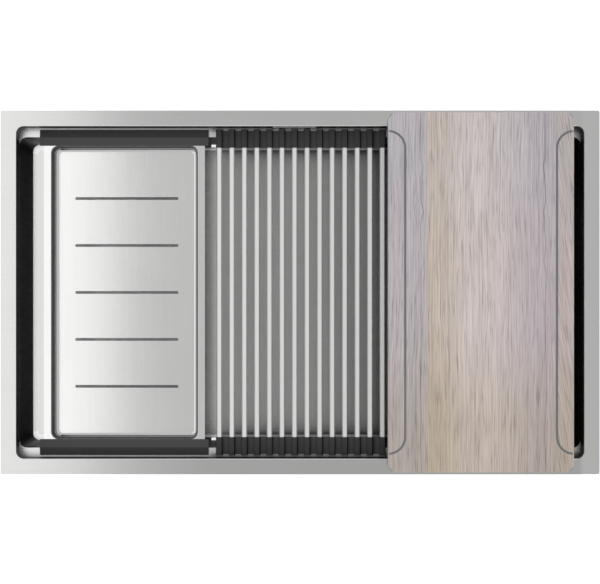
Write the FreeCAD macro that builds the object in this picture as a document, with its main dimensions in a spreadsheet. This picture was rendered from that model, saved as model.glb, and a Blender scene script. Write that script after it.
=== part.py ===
import FreeCAD, Part

import math
import os

import Sketcher
from FreeCAD import Placement, Rotation, Vector

# A workstation kitchen sink with its accessories in place. A folded steel bowl hangs
# under a flat rim and has a ledge along its front and back walls. A colander and a
# roll-up drying rack stand on the ledges, and a cutting board lies on the rim.
#
# Frame: X runs from left to right, Y from the front to the back and Z up. The origin is
# the middle of the opening, on the underside of the rim, where the rim meets a worktop.

doc = FreeCAD.newDocument("kitchen_sink")
sheet = doc.addObject("Spreadsheet::Sheet", "Dims")

# How close a corner or an edge must lie to the place where it is looked for
NEAR = 0.01


class Size:
    """A length together with the sheet formula that gives it."""

    def __init__(self, value, formula):
        self.value = value
        self.formula = formula

    def __add__(self, other):
        other = as_size(other)
        return Size(self.value + other.value, f"({self.formula} + {other.formula})")

    def __radd__(self, other):
        return as_size(other) + self

    def __sub__(self, other):
        other = as_size(other)
        return Size(self.value - other.value, f"({self.formula} - {other.formula})")

    def __rsub__(self, other):
        return as_size(other) - self

    def __mul__(self, other):
        other = as_size(other)
        return Size(self.value * other.value, f"({self.formula} * {other.formula})")

    def __rmul__(self, other):
        return as_size(other) * self

    def __truediv__(self, other):
        other = as_size(other)
        return Size(self.value / other.value, f"({self.formula} / {other.formula})")

    def __neg__(self):
        return as_size(0) - self


def as_size(item):
    """A plain number as a Size, so that it can stand in a sum with sizes."""
    return item if isinstance(item, Size) else Size(float(item), str(item))


def slope_angle(rise, run):
    """The angle of a slope in degrees, with its formula."""
    degrees = math.degrees(math.atan2(rise.value, run.value))
    return Size(degrees, f"atan({rise.formula} / {run.formula})")


ZERO = as_size(0)
sheet_rows = []


def dimension(name, value, meaning):
    """Write one driving dimension to the sheet and give it back as a Size."""
    sheet_rows.append(name)
    row = len(sheet_rows)
    sheet.set(f"A{row}", name)
    sheet.set(f"B{row}", str(value))
    sheet.set(f"C{row}", meaning)
    sheet.setAlias(f"B{row}", name)
    return Size(float(value), f"Dims.{name}")


# Rim and bowl
rim_band = dimension("rim_band", 21.0, "width of the flat rim round the opening")
rim_thick = dimension("rim_thick", 3.0, "thickness of the rim plate")
rim_corner = dimension("rim_corner", 3.5, "outer corner radius of the rim")
rim_bevel = dimension("rim_bevel", 0.6, "bevel of the rim's upper edges")
rim_rebate = dimension("rim_rebate", 1.0, "how far the walls reach into the rim")
opening_width = dimension("opening_width", 438.0, "opening, front to back")
opening_corner = dimension("opening_corner", 10.0, "corner radius of opening and bowl")
bowl_sheet = dimension("bowl_sheet", 1.5, "sheet thickness of the bowl")
bowl_depth = dimension("bowl_depth", 200.0, "rim's top to the floor beside the walls")
ledge_drop = dimension("ledge_drop", 40.0, "rim's top to the ledges")
ledge_reach = dimension("ledge_reach", 12.0, "how far each ledge stands in")
floor_bend = dimension("floor_bend", 9.0, "inner radius between walls and floor")
fall_border = dimension("fall_border", 14.0, "level strip of floor along the walls")
fall_depth = dimension("fall_depth", 3.5, "how far the floor falls to the drain")

# Drain, seen from above
drain_from_right = dimension("drain_from_right", 137.0, "right wall to the drain's axis")
drain_from_back = dimension("drain_from_back", 119.0, "back wall to the drain's axis")
drain_pad_half = dimension("drain_pad_half", 66.0, "half of the square round the drain")
recess_radius = dimension("recess_radius", 60.0, "radius of the pressed seat")
recess_depth = dimension("recess_depth", 2.5, "depth of the pressed seat")
drain_hole_radius = dimension("drain_hole_radius", 45.0, "hole in the bowl's floor")

# Strainer cup and waste below it
cup_sheet = dimension("cup_sheet", 1.2, "sheet thickness of the strainer cup")
cup_flange_radius = dimension("cup_flange_radius", 57.0, "outer radius of the flange")
cup_radius = dimension("cup_radius", 40.0, "inner radius of the cup")
cup_depth = dimension("cup_depth", 42.0, "depth of the cup below its flange")
flow_hole_radius = dimension("flow_hole_radius", 4.5, "holes in the cup's base")
flow_hole_ring = dimension("flow_hole_ring", 18.0, "radius of the ring of flow holes")
FLOW_HOLE_COUNT = 8
gasket_inner_radius = dimension("gasket_inner_radius", 46.0, "inside of both drain gaskets")
gasket_outer_radius = dimension("gasket_outer_radius", 56.0, "outside of both drain gaskets")
upper_gasket_thick = dimension("upper_gasket_thick", 1.5, "gasket under the cup's flange")
lower_gasket_thick = dimension("lower_gasket_thick", 2.5, "gasket under the bowl's floor")
waste_wall = dimension("waste_wall", 3.0, "wall of the moulded waste body")
waste_bore_radius = dimension("waste_bore_radius", 45.0, "inside of the waste body")
waste_flange_thick = dimension("waste_flange_thick", 4.0, "flange of the waste body")
waste_sump = dimension("waste_sump", 26.5, "cup's base to the waste body's floor")
outlet_radius = dimension("outlet_radius", 23.9, "outside of the outlet spigot")
outlet_bore_radius = dimension("outlet_bore_radius", 19.0, "inside of the outlet spigot")
outlet_length = dimension("outlet_length", 24.0, "length of the outlet spigot")
boss_radius = dimension("boss_radius", 8.0, "boss that takes the clamp screw")
boss_height = dimension("boss_height", 16.0, "height of that boss")
rib_thick = dimension("rib_thick", 3.0, "ribs that carry the boss")
rib_height = dimension("rib_height", 8.0, "height of those ribs")
rib_drop = dimension("rib_drop", 1.5, "boss's top to the ribs' top")
RIB_COUNT = 4
inlet_radius = dimension("inlet_radius", 11.0, "outside of the overflow inlet")
inlet_bore_radius = dimension("inlet_bore_radius", 8.0, "inside of the overflow inlet")
inlet_length = dimension("inlet_length", 26.0, "how far the overflow inlet stands out")
inlet_collar_radius = dimension("inlet_collar_radius", 13.5, "collar at the inlet's root")
inlet_collar_reach = dimension("inlet_collar_reach", 2.0, "how far that collar stands out")
inlet_drop = dimension("inlet_drop", 21.0, "waste body's top to the inlet's axis")
clamp_shank_radius = dimension("clamp_shank_radius", 3.0, "shank of the clamp screw")
clamp_head_radius = dimension("clamp_head_radius", 6.0, "head of the clamp screw")
clamp_head_height = dimension("clamp_head_height", 3.4, "height of that head")
clamp_length = dimension("clamp_length", 15.0, "shank below the head")
screw_play = dimension("screw_play", 0.2, "gap round a screw in its hole")
thread_play = dimension("thread_play", 0.05, "gap round a screw in its thread")

# Lift-out strainer basket
basket_seal_thick = dimension("basket_seal_thick", 4.2, "rubber disc under the basket")
basket_seal_radius = dimension("basket_seal_radius", 29.5, "radius of that disc")
basket_seal_bore = dimension("basket_seal_bore", 7.5, "hole over the clamp screw's head")
basket_sheet = dimension("basket_sheet", 0.8, "sheet thickness of the basket")
basket_height = dimension("basket_height", 26.0, "height of the basket's wall")
basket_play = dimension("basket_play", 0.8, "basket's rim to the cup's wall")
basket_rim_reach = dimension("basket_rim_reach", 1.8, "how far the basket's rim turns out")
basket_slot_width = dimension("basket_slot_width", 4.0, "slots in the basket's wall")
basket_slot_height = dimension("basket_slot_height", 15.0, "height of those slots")
BASKET_SLOT_COUNT = 8
knob_radius = dimension("knob_radius", 9.0, "grip of the basket")
knob_height = dimension("knob_height", 8.0, "height of the grip")
knob_stem_radius = dimension("knob_stem_radius", 3.0, "stem of the grip")
knob_stem_length = dimension("knob_stem_length", 23.0, "basket's base to the grip")
knob_foot_radius = dimension("knob_foot_radius", 7.0, "foot that holds the stem")
knob_foot_thick = dimension("knob_foot_thick", 1.2, "thickness of that foot")

# Overflow in the back wall
overflow_from_middle = dimension("overflow_from_middle", 7.0, "overflow's axis, left of middle")
overflow_below_seat = dimension("overflow_below_seat", 19.0, "rim's underside to its axis")
cover_length = dimension("cover_length", 60.5, "cover, left to right")
cover_height = dimension("cover_height", 26.0, "cover, top to bottom")
cover_thick = dimension("cover_thick", 1.2, "thickness of the cover")
cover_corner = dimension("cover_corner", 4.0, "corner radius of the cover")
overflow_slot_length = dimension("overflow_slot_length", 30.0, "slot for the water")
overflow_slot_height = dimension("overflow_slot_height", 8.0, "height of that slot")
overflow_slot_corner = dimension("overflow_slot_corner", 2.0, "corner radius of that slot")
overflow_screw_spread = dimension("overflow_screw_spread", 46.0, "between the two screws")
overflow_screw_radius = dimension("overflow_screw_radius", 2.0, "shank of those screws")
overflow_head_radius = dimension("overflow_head_radius", 3.4, "sunk heads of those screws")
overflow_screw_length = dimension("overflow_screw_length", 9.0, "length of those screws")
overflow_gasket_thick = dimension("overflow_gasket_thick", 1.5, "gasket behind the wall")
housing_depth = dimension("housing_depth", 8.0, "housing behind the gasket")
housing_wall = dimension("housing_wall", 1.2, "wall of the housing")
housing_length = dimension("housing_length", 56.0, "housing, left to right")
housing_height = dimension("housing_height", 24.0, "housing, top to bottom")
duct_length = dimension("duct_length", 30.0, "duct below the housing, left to right")
duct_drop = dimension("duct_drop", 34.0, "overflow's axis to the duct's foot")
foot_height = dimension("foot_height", 9.0, "foot that joins duct and spigot")
foot_reach = dimension("foot_reach", 18.0, "foot, front to back")
spigot_radius = dimension("spigot_radius", 8.5, "outside of the overflow spigot")
spigot_bore_radius = dimension("spigot_bore_radius", 6.0, "inside of the overflow spigot")
spigot_length = dimension("spigot_length", 24.0, "length of the overflow spigot")

# Sound pads
pad_thick = dimension("pad_thick", 3.0, "thickness of the sound pads")
pad_below_clips = dimension("pad_below_clips", 24.0, "clips' bolts to the pads' upper edge")
pad_long = dimension("pad_long", 340.0, "pads on the front and back walls")
pad_short = dimension("pad_short", 260.0, "pads on the left and right walls")
pad_above_floor = dimension("pad_above_floor", 22.0, "floor to the pads' lower edge")
floor_pad_from_edge = dimension("floor_pad_from_edge", 30.0, "start of the fall to the pad")
floor_pad_length = dimension("floor_pad_length", 180.0, "pad under the floor, along X")
floor_pad_width = dimension("floor_pad_width", 170.0, "pad under the floor, along Y")

# Worktop clips, folded away along the walls
clip_sheet = dimension("clip_sheet", 1.5, "sheet thickness of the welded brackets")
bracket_length = dimension("bracket_length", 20.0, "bracket along the wall")
bracket_reach = dimension("bracket_reach", 8.5, "bracket's tab, out from the wall")
bracket_drop = dimension("bracket_drop", 8.0, "rim's underside to the tab's top")
bracket_leg = dimension("bracket_leg", 11.0, "height of the leg that is welded on")
clip_bolt_out = dimension("clip_bolt_out", 5.0, "wall to the bolt's axis")
clip_bolt_radius = dimension("clip_bolt_radius", 2.4, "radius of the clip's bolt")
clip_bolt_length = dimension("clip_bolt_length", 48.0, "bolt below its head")
clip_head_radius = dimension("clip_head_radius", 4.2, "head of the bolt")
clip_head_height = dimension("clip_head_height", 3.2, "height of that head")
arm_thick = dimension("arm_thick", 3.0, "thickness of the clip's arm")
arm_width = dimension("arm_width", 7.6, "width of the arm")
arm_tail = dimension("arm_tail", 8.0, "arm behind the bolt")
arm_reach = dimension("arm_reach", 26.0, "arm in front of the bolt")
arm_drop = dimension("arm_drop", 46.0, "rim's underside to the arm's lower face")
tooth_height = dimension("tooth_height", 7.0, "tooth that bites the worktop")
wing_nut_radius = dimension("wing_nut_radius", 4.2, "hub of the wing nut")
wing_nut_height = dimension("wing_nut_height", 5.0, "height of that hub")
wing_reach = dimension("wing_reach", 10.0, "how far its wings stand out")
wing_thick = dimension("wing_thick", 1.6, "thickness of the wings")
wing_height = dimension("wing_height", 8.0, "height of the wings")
wing_drop = dimension("wing_drop", 2.0, "arm's lower face to the wings")
wing_gap = dimension("wing_gap", 0.6, "wing to the bolt")

# Colander
colander_from_wall = dimension("colander_from_wall", 27.8, "left wall to the runners")
runner_length = dimension("runner_length", 224.4, "length of the runners")
runner_play = dimension("runner_play", 2.5, "runner to the wall beside it")
runner_sole = dimension("runner_sole", 2.5, "ledge to the tray's lip")
runner_height = dimension("runner_height", 8.0, "ledge to the runner's ridge")
runner_outer_height = dimension("runner_outer_height", 4.6, "height of its outer face")
runner_inner_height = dimension("runner_inner_height", 5.2, "height of its inner edge")
runner_round = dimension("runner_round", 1.2, "rounding of the ridge")
runner_lip = dimension("runner_lip", 0.3, "tray's wall to the runner's edge")
runner_jaw_gap = dimension("runner_jaw_gap", 4.0, "tray's wall to the lower jaw")
grip_play = dimension("grip_play", 0.05, "gap between two pieces that grip")
tray_sheet = dimension("tray_sheet", 1.0, "sheet thickness of the tray")
tray_wall_gap = dimension("tray_wall_gap", 11.0, "tray to the bowl's front and back")
tray_lip_side = dimension("tray_lip_side", 10.0, "width of the lip at both sides")
tray_lip_end = dimension("tray_lip_end", 18.0, "width of the lip in the runners")
tray_hem = dimension("tray_hem", 4.5, "edge that is turned down at both sides")
tray_depth = dimension("tray_depth", 43.5, "depth of the tray")
tray_corner = dimension("tray_corner", 9.0, "corner radius inside the tray")
tray_floor_bend = dimension("tray_floor_bend", 7.0, "radius between tray walls and floor")
tray_fold = dimension("tray_fold", 0.5, "bevel where the lip turns down")
slot_length = dimension("slot_length", 139.0, "drain slots of the tray")
slot_width = dimension("slot_width", 3.8, "width of those slots")
slot_pitch = dimension("slot_pitch", 63.4, "slot to slot")
slot_corner = dimension("slot_corner", 1.2, "corner radius of the slots")
SLOT_COUNT = 5

# Roll-up rack
rack_from_colander = dimension("rack_from_colander", 10.0, "runners to the first sleeve")
bar_pitch = dimension("bar_pitch", 16.7, "bar to bar")
bar_width = dimension("bar_width", 7.1, "width of a bar")
bar_height = dimension("bar_height", 7.0, "height of a bar")
bar_bevel = dimension("bar_bevel", 1.1, "bevel along a bar's edges")
bar_wall = dimension("bar_wall", 1.0, "wall of the bar's tube")
rack_play = dimension("rack_play", 0.3, "ledge to the rubber, room to slide")
sleeve_play = dimension("sleeve_play", 2.2, "sleeve's end to the wall")
sleeve_length = dimension("sleeve_length", 24.4, "length of a sleeve")
sleeve_end = dimension("sleeve_end", 4.4, "closed end of a sleeve")
sleeve_wall = dimension("sleeve_wall", 0.8, "rubber beside a bar")
sleeve_sole = dimension("sleeve_sole", 1.3, "rubber under and over a bar")
sleeve_bevel = dimension("sleeve_bevel", 1.3, "bevel along a sleeve's edges")
web_thick = dimension("web_thick", 2.0, "web between two sleeves")
web_set_back = dimension("web_set_back", 1.5, "sleeve's end to the web's end")
BAR_COUNT = 14

# Cutting board
board_from_rack = dimension("board_from_rack", 1.3, "last sleeve to the board")
board_length = dimension("board_length", 243.0, "board, left to right")
board_overlap = dimension("board_overlap", 16.5, "how far it lies on the rim")
board_thick = dimension("board_thick", 20.0, "thickness above the rim")
board_corner = dimension("board_corner", 11.0, "corner radius of the board")
board_bevel = dimension("board_bevel", 1.0, "bevel of its upper edge")
step_depth = dimension("step_depth", 5.0, "part that drops into the opening")
step_inset = dimension("step_inset", 10.0, "board's side to that part's side")
step_play = dimension("step_play", 1.5, "that part to the wall beside it")
groove_inset = dimension("groove_inset", 22.3, "board's side to the groove")
groove_end = dimension("groove_end", 24.5, "board's front to the groove's end")
groove_half_width = dimension("groove_half_width", 1.6, "half of the groove's width")
groove_floor_half = dimension("groove_floor_half", 0.9, "half of its flat bottom's width")
groove_depth = dimension("groove_depth", 1.1, "depth of the groove")
groove_lift = dimension("groove_lift", 0.3, "groove's cutter above the board")
board_to_wall = dimension("board_to_wall", 15.6, "board to the right wall, from above")

# Sides of a piece that stands for a small round one
SMALL_ROUND_SIDES = 8
HEX_SIDES = 6

# How far a cut runs past the face that it opens
overrun = dimension("overrun", 2.0, "cuts past a face")

doc.recompute()

# Places that follow from the sizes above
rack_length = bar_pitch * (BAR_COUNT - 1) + bar_width + 2 * sleeve_wall
opening_length = (
    colander_from_wall
    + runner_length
    + rack_from_colander
    + rack_length
    + board_from_rack
    + board_length
    + board_to_wall
)
opening_half_x = opening_length / 2
opening_half_y = opening_width / 2
rim_half_x = opening_half_x + rim_band
rim_half_y = opening_half_y + rim_band
bowl_half_y = opening_half_y - ledge_reach

ledge_z = rim_thick - ledge_drop
ledge_under = ledge_z - bowl_sheet
floor_z = rim_thick - bowl_depth
floor_under_z = floor_z - bowl_sheet
bend_top_z = floor_z + floor_bend
fall_z = floor_z - fall_depth
recess_z = fall_z - recess_depth

drain_x = opening_half_x - drain_from_right
drain_y = opening_half_y - drain_from_back
fall_half_x = opening_half_x - fall_border
fall_half_y = bowl_half_y - fall_border


def bind(thing, name, size):
    """Tie one property of an object to the sheet."""
    thing.setExpression(name, as_size(size).formula)


def place(thing, x=ZERO, y=ZERO, z=ZERO):
    """Tie an object's position to the sheet."""
    bind(thing, "Placement.Base.x", x)
    bind(thing, "Placement.Base.y", y)
    bind(thing, "Placement.Base.z", z)


def new_body(name):
    """An empty body with its own label."""
    body = doc.addObject("PartDesign::Body", name)
    body.Label = name
    return body


def origin_part(body, role):
    """One of a body's own planes or axes."""
    return next(item for item in body.Origin.OriginFeatures if item.Role == role)


def new_sketch(body, name, role, offset):
    """An empty sketch on one of the body's planes, moved along the plane's normal."""
    sketch = body.newObject("Sketcher::SketchObject", name)
    sketch.AttachmentSupport = [(origin_part(body, role), "")]
    sketch.MapMode = "FlatFace"
    bind(sketch, "AttachmentOffset.Base.z", offset)
    return sketch


def level_sketch(body, name, z):
    """A sketch in X and Y at height z."""
    return new_sketch(body, name, "XY_Plane", z)


def upright_sketch(body, name, y):
    """A sketch in X and Z at depth y. Its normal points to the front."""
    return new_sketch(body, name, "XZ_Plane", -y)


def side_sketch(body, name, x):
    """A sketch in Y and Z at x. Its normal points to the right."""
    return new_sketch(body, name, "YZ_Plane", x)


def pin_point(sketch, geometry, vertex, point):
    """Hold one point of a sketch at a pair of sizes."""
    for kind, letter, size in (("DistanceX", "x", point[0]), ("DistanceY", "y", point[1])):
        index = sketch.addConstraint(Sketcher.Constraint(kind, -1, 1, geometry, vertex, size.value))
        name = f"{letter}{geometry}_{vertex}"
        sketch.renameConstraint(index, name)
        bind(sketch, f"Constraints.{name}", size)


def pin_radius(sketch, geometry, radius):
    """Hold the radius of a circle or an arc."""
    index = sketch.addConstraint(Sketcher.Constraint("Radius", geometry, radius.value))
    name = f"r{geometry}"
    sketch.renameConstraint(index, name)
    bind(sketch, f"Constraints.{name}", radius)


def flat_vector(point):
    """A pair of sizes as a point in the sketch's plane."""
    return Vector(point[0].value, point[1].value, 0)


def join_ends(sketch, first, first_vertex, second, second_vertex):
    """Let two ends of a sketch's pieces share one point."""
    sketch.addConstraint(Sketcher.Constraint("Coincident", first, first_vertex, second, second_vertex))


def polygon(sketch, corners):
    """A closed outline of straight lines through corners, each a pair of sizes."""
    start = sketch.GeometryCount
    count = len(corners)
    for index, corner in enumerate(corners):
        following = corners[(index + 1) % count]
        sketch.addGeometry(Part.LineSegment(flat_vector(corner), flat_vector(following)), False)
    for index, corner in enumerate(corners):
        join_ends(sketch, start + index, 2, start + (index + 1) % count, 1)
        pin_point(sketch, start + index, 1, corner)


def rectangle(sketch, low, high):
    """A rectangle between its low corner and its high corner."""
    polygon(sketch, [low, (high[0], low[1]), high, (low[0], high[1])])


# Signs of x and y in the four quarters of a plane, anticlockwise
QUARTERS = ((1, 1), (-1, 1), (-1, -1), (1, -1))


def rounded_rectangle(sketch, middle, half, radius):
    """A rectangle with round corners, given by its middle and its half sizes."""
    start = sketch.GeometryCount
    for turn, (sign_x, sign_y) in enumerate(QUARTERS):
        centre = (
            middle[0] + sign_x * (half[0] - radius),
            middle[1] + sign_y * (half[1] - radius),
        )
        circle = Part.Circle(flat_vector(centre), Vector(0, 0, 1), radius.value)
        quarter = math.pi / 2
        sketch.addGeometry(Part.ArcOfCircle(circle, turn * quarter, (turn + 1) * quarter), False)
    for turn, (sign_x, sign_y) in enumerate(QUARTERS):
        on_side = (middle[0] + sign_x * half[0], middle[1] + sign_y * (half[1] - radius))
        on_end = (middle[0] + sign_x * (half[0] - radius), middle[1] + sign_y * half[1])
        ends = (on_side, on_end) if sign_x == sign_y else (on_end, on_side)
        pin_point(sketch, start + turn, 1, ends[0])
        pin_point(sketch, start + turn, 2, ends[1])
        pin_radius(sketch, start + turn, radius)
    for turn in range(len(QUARTERS)):
        following = (turn + 1) % len(QUARTERS)
        line = sketch.addGeometry(
            Part.LineSegment(
                sketch.getPoint(start + turn, 2),
                sketch.getPoint(start + following, 1),
            ),
            False,
        )
        join_ends(sketch, start + turn, 2, line, 1)
        join_ends(sketch, line, 2, start + following, 1)


def bevelled_rectangle(sketch, middle, half, bevel):
    """A rectangle with its corners cut off, given by its middle and its half sizes."""
    corners = []
    for sign_x, sign_y in QUARTERS:
        on_side = (middle[0] + sign_x * half[0], middle[1] + sign_y * (half[1] - bevel))
        on_end = (middle[0] + sign_x * (half[0] - bevel), middle[1] + sign_y * half[1])
        corners += [on_side, on_end] if sign_x == sign_y else [on_end, on_side]
    polygon(sketch, corners)


def many_sided(sketch, centre, radius, sides):
    """A regular outline with a number of sides, its corners at a radius."""
    corners = []
    for index in range(sides):
        turn = 2 * math.pi * index / sides
        corners.append((centre[0] + math.cos(turn) * radius, centre[1] + math.sin(turn) * radius))
    polygon(sketch, corners)


def circle(sketch, centre, radius):
    """A circle about a pair of sizes."""
    index = sketch.addGeometry(Part.Circle(flat_vector(centre), Vector(0, 0, 1), radius.value), False)
    pin_point(sketch, index, 3, centre)
    pin_radius(sketch, index, radius)


def finished(body, feature):
    """Make a feature the body's result and hand it back."""
    body.Tip = feature
    return feature


def pad(body, name, sketch, length, both_ways=False, backwards=False):
    """Raise a sketch along its normal, or to both sides of it."""
    feature = body.newObject("PartDesign::Pad", name)
    feature.Profile = sketch
    feature.SideType = "Symmetric" if both_ways else "One side"
    feature.Reversed = backwards
    bind(feature, "Length", length)
    return finished(body, feature)


def pocket(body, name, sketch, depth, both_ways=False, backwards=False):
    """Sink a sketch against its normal, or to both sides of it."""
    feature = body.newObject("PartDesign::Pocket", name)
    feature.Profile = sketch
    feature.SideType = "Symmetric" if both_ways else "One side"
    feature.Reversed = backwards
    bind(feature, "Length", depth)
    return finished(body, feature)


def revolve(body, name, corners):
    """Turn a closed half section, in radius and height, about the body's Z axis."""
    sketch = upright_sketch(body, f"{name}_section", ZERO)
    polygon(sketch, corners)
    feature = body.newObject("PartDesign::Revolution", name)
    feature.Profile = sketch
    feature.ReferenceAxis = (sketch, ["V_Axis"])
    return finished(body, feature)


def loft(body, name, kind, first, second):
    """Join two sketches by flat faces, to add or to take away."""
    feature = body.newObject(kind, name)
    feature.Profile = first
    feature.Sections = [second]
    feature.Ruled = True
    return finished(body, feature)


def around(body, name, feature, count):
    """Repeat a feature about the body's Z axis."""
    pattern = body.newObject("PartDesign::PolarPattern", name)
    pattern.Originals = [feature]
    pattern.Axis = (origin_part(body, "Z_Axis"), [""])
    pattern.Angle = 360
    pattern.Occurrences = count
    return finished(body, pattern)


def mirrored(body, name, features, role):
    """Repeat features on the far side of one of the body's planes."""
    mirror = body.newObject("PartDesign::Mirrored", name)
    mirror.Originals = features
    mirror.MirrorPlane = (origin_part(body, role), [""])
    return finished(body, mirror)


def dress_edges(body, name, kind, feature, wanted):
    """Start a feature on every edge of another one that passes the test wanted."""
    doc.recompute()
    names = [f"Edge{number}" for number, edge in enumerate(feature.Shape.Edges, 1) if wanted(edge)]
    if not names:
        raise ValueError(f"{name} finds no edge")
    result = body.newObject(kind, name)
    result.Base = (feature, names)
    return finished(body, result)


def fillet(body, name, feature, wanted, radius):
    """Round the edges that pass the test wanted."""
    result = dress_edges(body, name, "PartDesign::Fillet", feature, wanted)
    bind(result, "Radius", radius)
    return result


def chamfer(body, name, feature, wanted, size):
    """Bevel the edges that pass the test wanted."""
    result = dress_edges(body, name, "PartDesign::Chamfer", feature, wanted)
    bind(result, "Size", size)
    return result


def middle_of(edge):
    """The point halfway along an edge."""
    return edge.valueAt((edge.FirstParameter + edge.LastParameter) / 2)


def level_at(z, inside=None):
    """Test for an edge at height z, if wanted only within a rectangle about the origin."""

    def wanted(edge):
        box = edge.BoundBox
        if box.ZLength > NEAR or abs(box.ZMin - z.value) > NEAR:
            return False
        if not inside:
            return True
        point = middle_of(edge)
        return abs(point.x) < inside[0].value + NEAR and abs(point.y) < inside[1].value + NEAR

    return wanted


def along_x_at(y, z):
    """Test for an edge that runs along X at y and z."""

    def wanted(edge):
        box = edge.BoundBox
        thin = box.YLength < NEAR and box.ZLength < NEAR
        return thin and abs(box.YMin - y.value) < NEAR and abs(box.ZMin - z.value) < NEAR

    return wanted


def group(name, piece, places):
    """Copies of one piece at several places, each an x, y and a turn about Z."""
    links = []
    for number, (x, y, turn) in enumerate(places, 1):
        link = doc.addObject("App::Link", f"{name}_at_{number}")
        link.LinkedObject = piece
        link.Placement = Placement(Vector(0, 0, 0), Rotation(Vector(0, 0, 1), turn))
        bind(link, ".Placement.Base.x", x)
        bind(link, ".Placement.Base.y", y)
        links.append(link)
    result = doc.addObject("Part::Compound", name)
    result.Label = name
    result.Links = links
    return result


# Outlines that the rim, the walls, the ledges and the bowl share
MIDDLE = (ZERO, ZERO)
opening_half = (opening_half_x, opening_half_y)
wall_half = (opening_half_x + bowl_sheet, opening_half_y + bowl_sheet)
well_half = (opening_half_x, bowl_half_y)
bowl_half = (opening_half_x + bowl_sheet, bowl_half_y + bowl_sheet)
outer_corner = opening_corner + bowl_sheet

# Where the straight sides of those outlines end and their corners begin
opening_straight = (opening_half_x - opening_corner, opening_half_y - opening_corner)
well_straight = (opening_half_x - opening_corner, bowl_half_y - opening_corner)


def eight_pieces(name, draw, split, reach, low, high):
    """A frame as four straight sides and four corners, each a solid of its own.

    draw makes the whole frame in a body of a given name, split is where the corners
    begin, and reach is the frame's half size.
    """
    far = (reach[0] + overrun, reach[1] + overrun)
    sides = draw(f"{name}_sides")
    squares = level_sketch(sides, f"{name}_corner_squares", high)
    for sign_x, sign_y in QUARTERS:
        across = sorted((sign_x * split[0], sign_x * far[0]), key=lambda size: size.value)
        along = sorted((sign_y * split[1], sign_y * far[1]), key=lambda size: size.value)
        rectangle(squares, (across[0], along[0]), (across[1], along[1]))
    pocket(sides, f"{name}_without_corners", squares, high - low)

    corners = draw(f"{name}_corners")
    cross = level_sketch(corners, f"{name}_middle_cross", high)
    points = []
    for sign_x, sign_y in QUARTERS:
        on_end = (sign_x * split[0], sign_y * far[1])
        inside = (sign_x * split[0], sign_y * split[1])
        on_side = (sign_x * far[0], sign_y * split[1])
        points += [on_side, inside, on_end] if sign_x == sign_y else [on_end, inside, on_side]
    polygon(cross, points)
    pocket(corners, f"{name}_without_sides", cross, high - low)
    return [sides, corners]


def bent_frame(name, half, corner, thick, bend, floor, straight):
    """Bends from upright walls down to a floor, with a narrow strip of that floor.

    half and corner give the inside of the walls, and straight is where the strip ends.
    """
    body = new_body(name)
    under = floor - thick
    top = floor + bend
    cut_top = top + overrun
    outer_half = (half[0] + thick, half[1] + thick)
    outside = level_sketch(body, f"{name}_outside", under)
    rounded_rectangle(outside, MIDDLE, outer_half, corner + thick)
    pad(body, f"{name}_pan", outside, cut_top - under)
    inside = level_sketch(body, f"{name}_inside", cut_top)
    rounded_rectangle(inside, MIDDLE, half, corner)
    hollow = pocket(body, f"{name}_hollow", inside, cut_top - floor)
    bent = fillet(body, f"{name}_inner_bend", hollow, level_at(floor), bend)
    fillet(body, f"{name}_outer_bend", bent, level_at(under), bend + thick)
    middle = level_sketch(body, f"{name}_middle", floor)
    rectangle(middle, (-straight[0], -straight[1]), straight)
    pocket(body, f"{name}_opening", middle, thick)
    upper = level_sketch(body, f"{name}_upper_edge", top)
    far_x, far_y = (outer_half[0] + overrun, outer_half[1] + overrun)
    rectangle(upper, (-far_x, -far_y), (far_x, far_y))
    pocket(body, f"{name}_trim", upper, overrun, backwards=True)
    return body


def joined(name, pieces):
    """Several bodies as one sub-part."""
    result = doc.addObject("Part::Compound", name)
    result.Label = name
    result.Links = pieces
    return result


def make_rim_plate():
    """Flat rim with a rectangular opening and a rebate for the walls below."""
    reach = (rim_half_x, rim_half_y)

    def draw(name):
        body = new_body(name)
        outline = level_sketch(body, f"{name}_outline", ZERO)
        rounded_rectangle(outline, MIDDLE, reach, rim_corner)
        pad(body, f"{name}_blank", outline, rim_thick)
        window = level_sketch(body, f"{name}_window", rim_thick)
        rounded_rectangle(window, MIDDLE, opening_half, opening_corner)
        opened = pocket(body, f"{name}_opening", window, rim_thick + overrun)
        chamfer(body, f"{name}_edges", opened, level_at(rim_thick), rim_bevel)
        rebate = level_sketch(body, f"{name}_rebate_outline", ZERO)
        rounded_rectangle(rebate, MIDDLE, wall_half, outer_corner)
        pocket(body, f"{name}_rebate", rebate, rim_rebate, backwards=True)
        return body

    pieces = eight_pieces("rim", draw, opening_straight, reach, ZERO, rim_thick)
    return joined("rim_plate", pieces)


def make_upper_walls():
    """Upright walls between the rim and the ledges, with the overflow's holes."""

    def draw(name):
        body = new_body(name)
        outline = level_sketch(body, f"{name}_outlines", ledge_z)
        rounded_rectangle(outline, MIDDLE, wall_half, outer_corner)
        rounded_rectangle(outline, MIDDLE, opening_half, opening_corner)
        pad(body, f"{name}_ring", outline, rim_rebate - ledge_z)
        return body

    sides, corners = eight_pieces(
        "upper_wall", draw, opening_straight, wall_half, ledge_z, rim_rebate
    )
    slot = upright_sketch(sides, "overflow_slot", opening_half_y - overrun)
    place_x = -overflow_from_middle
    place_z = -overflow_below_seat
    slot_half = (overflow_slot_length / 2, overflow_slot_height / 2)
    rounded_rectangle(slot, (place_x, place_z), slot_half, overflow_slot_corner)
    for side in (-1, 1):
        circle(
            slot,
            (place_x + side * overflow_screw_spread / 2, place_z),
            overflow_screw_radius + screw_play,
        )
    pocket(sides, "overflow_cut", slot, bowl_sheet + 2 * overrun)
    return joined("upper_walls", [sides, corners])


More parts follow.
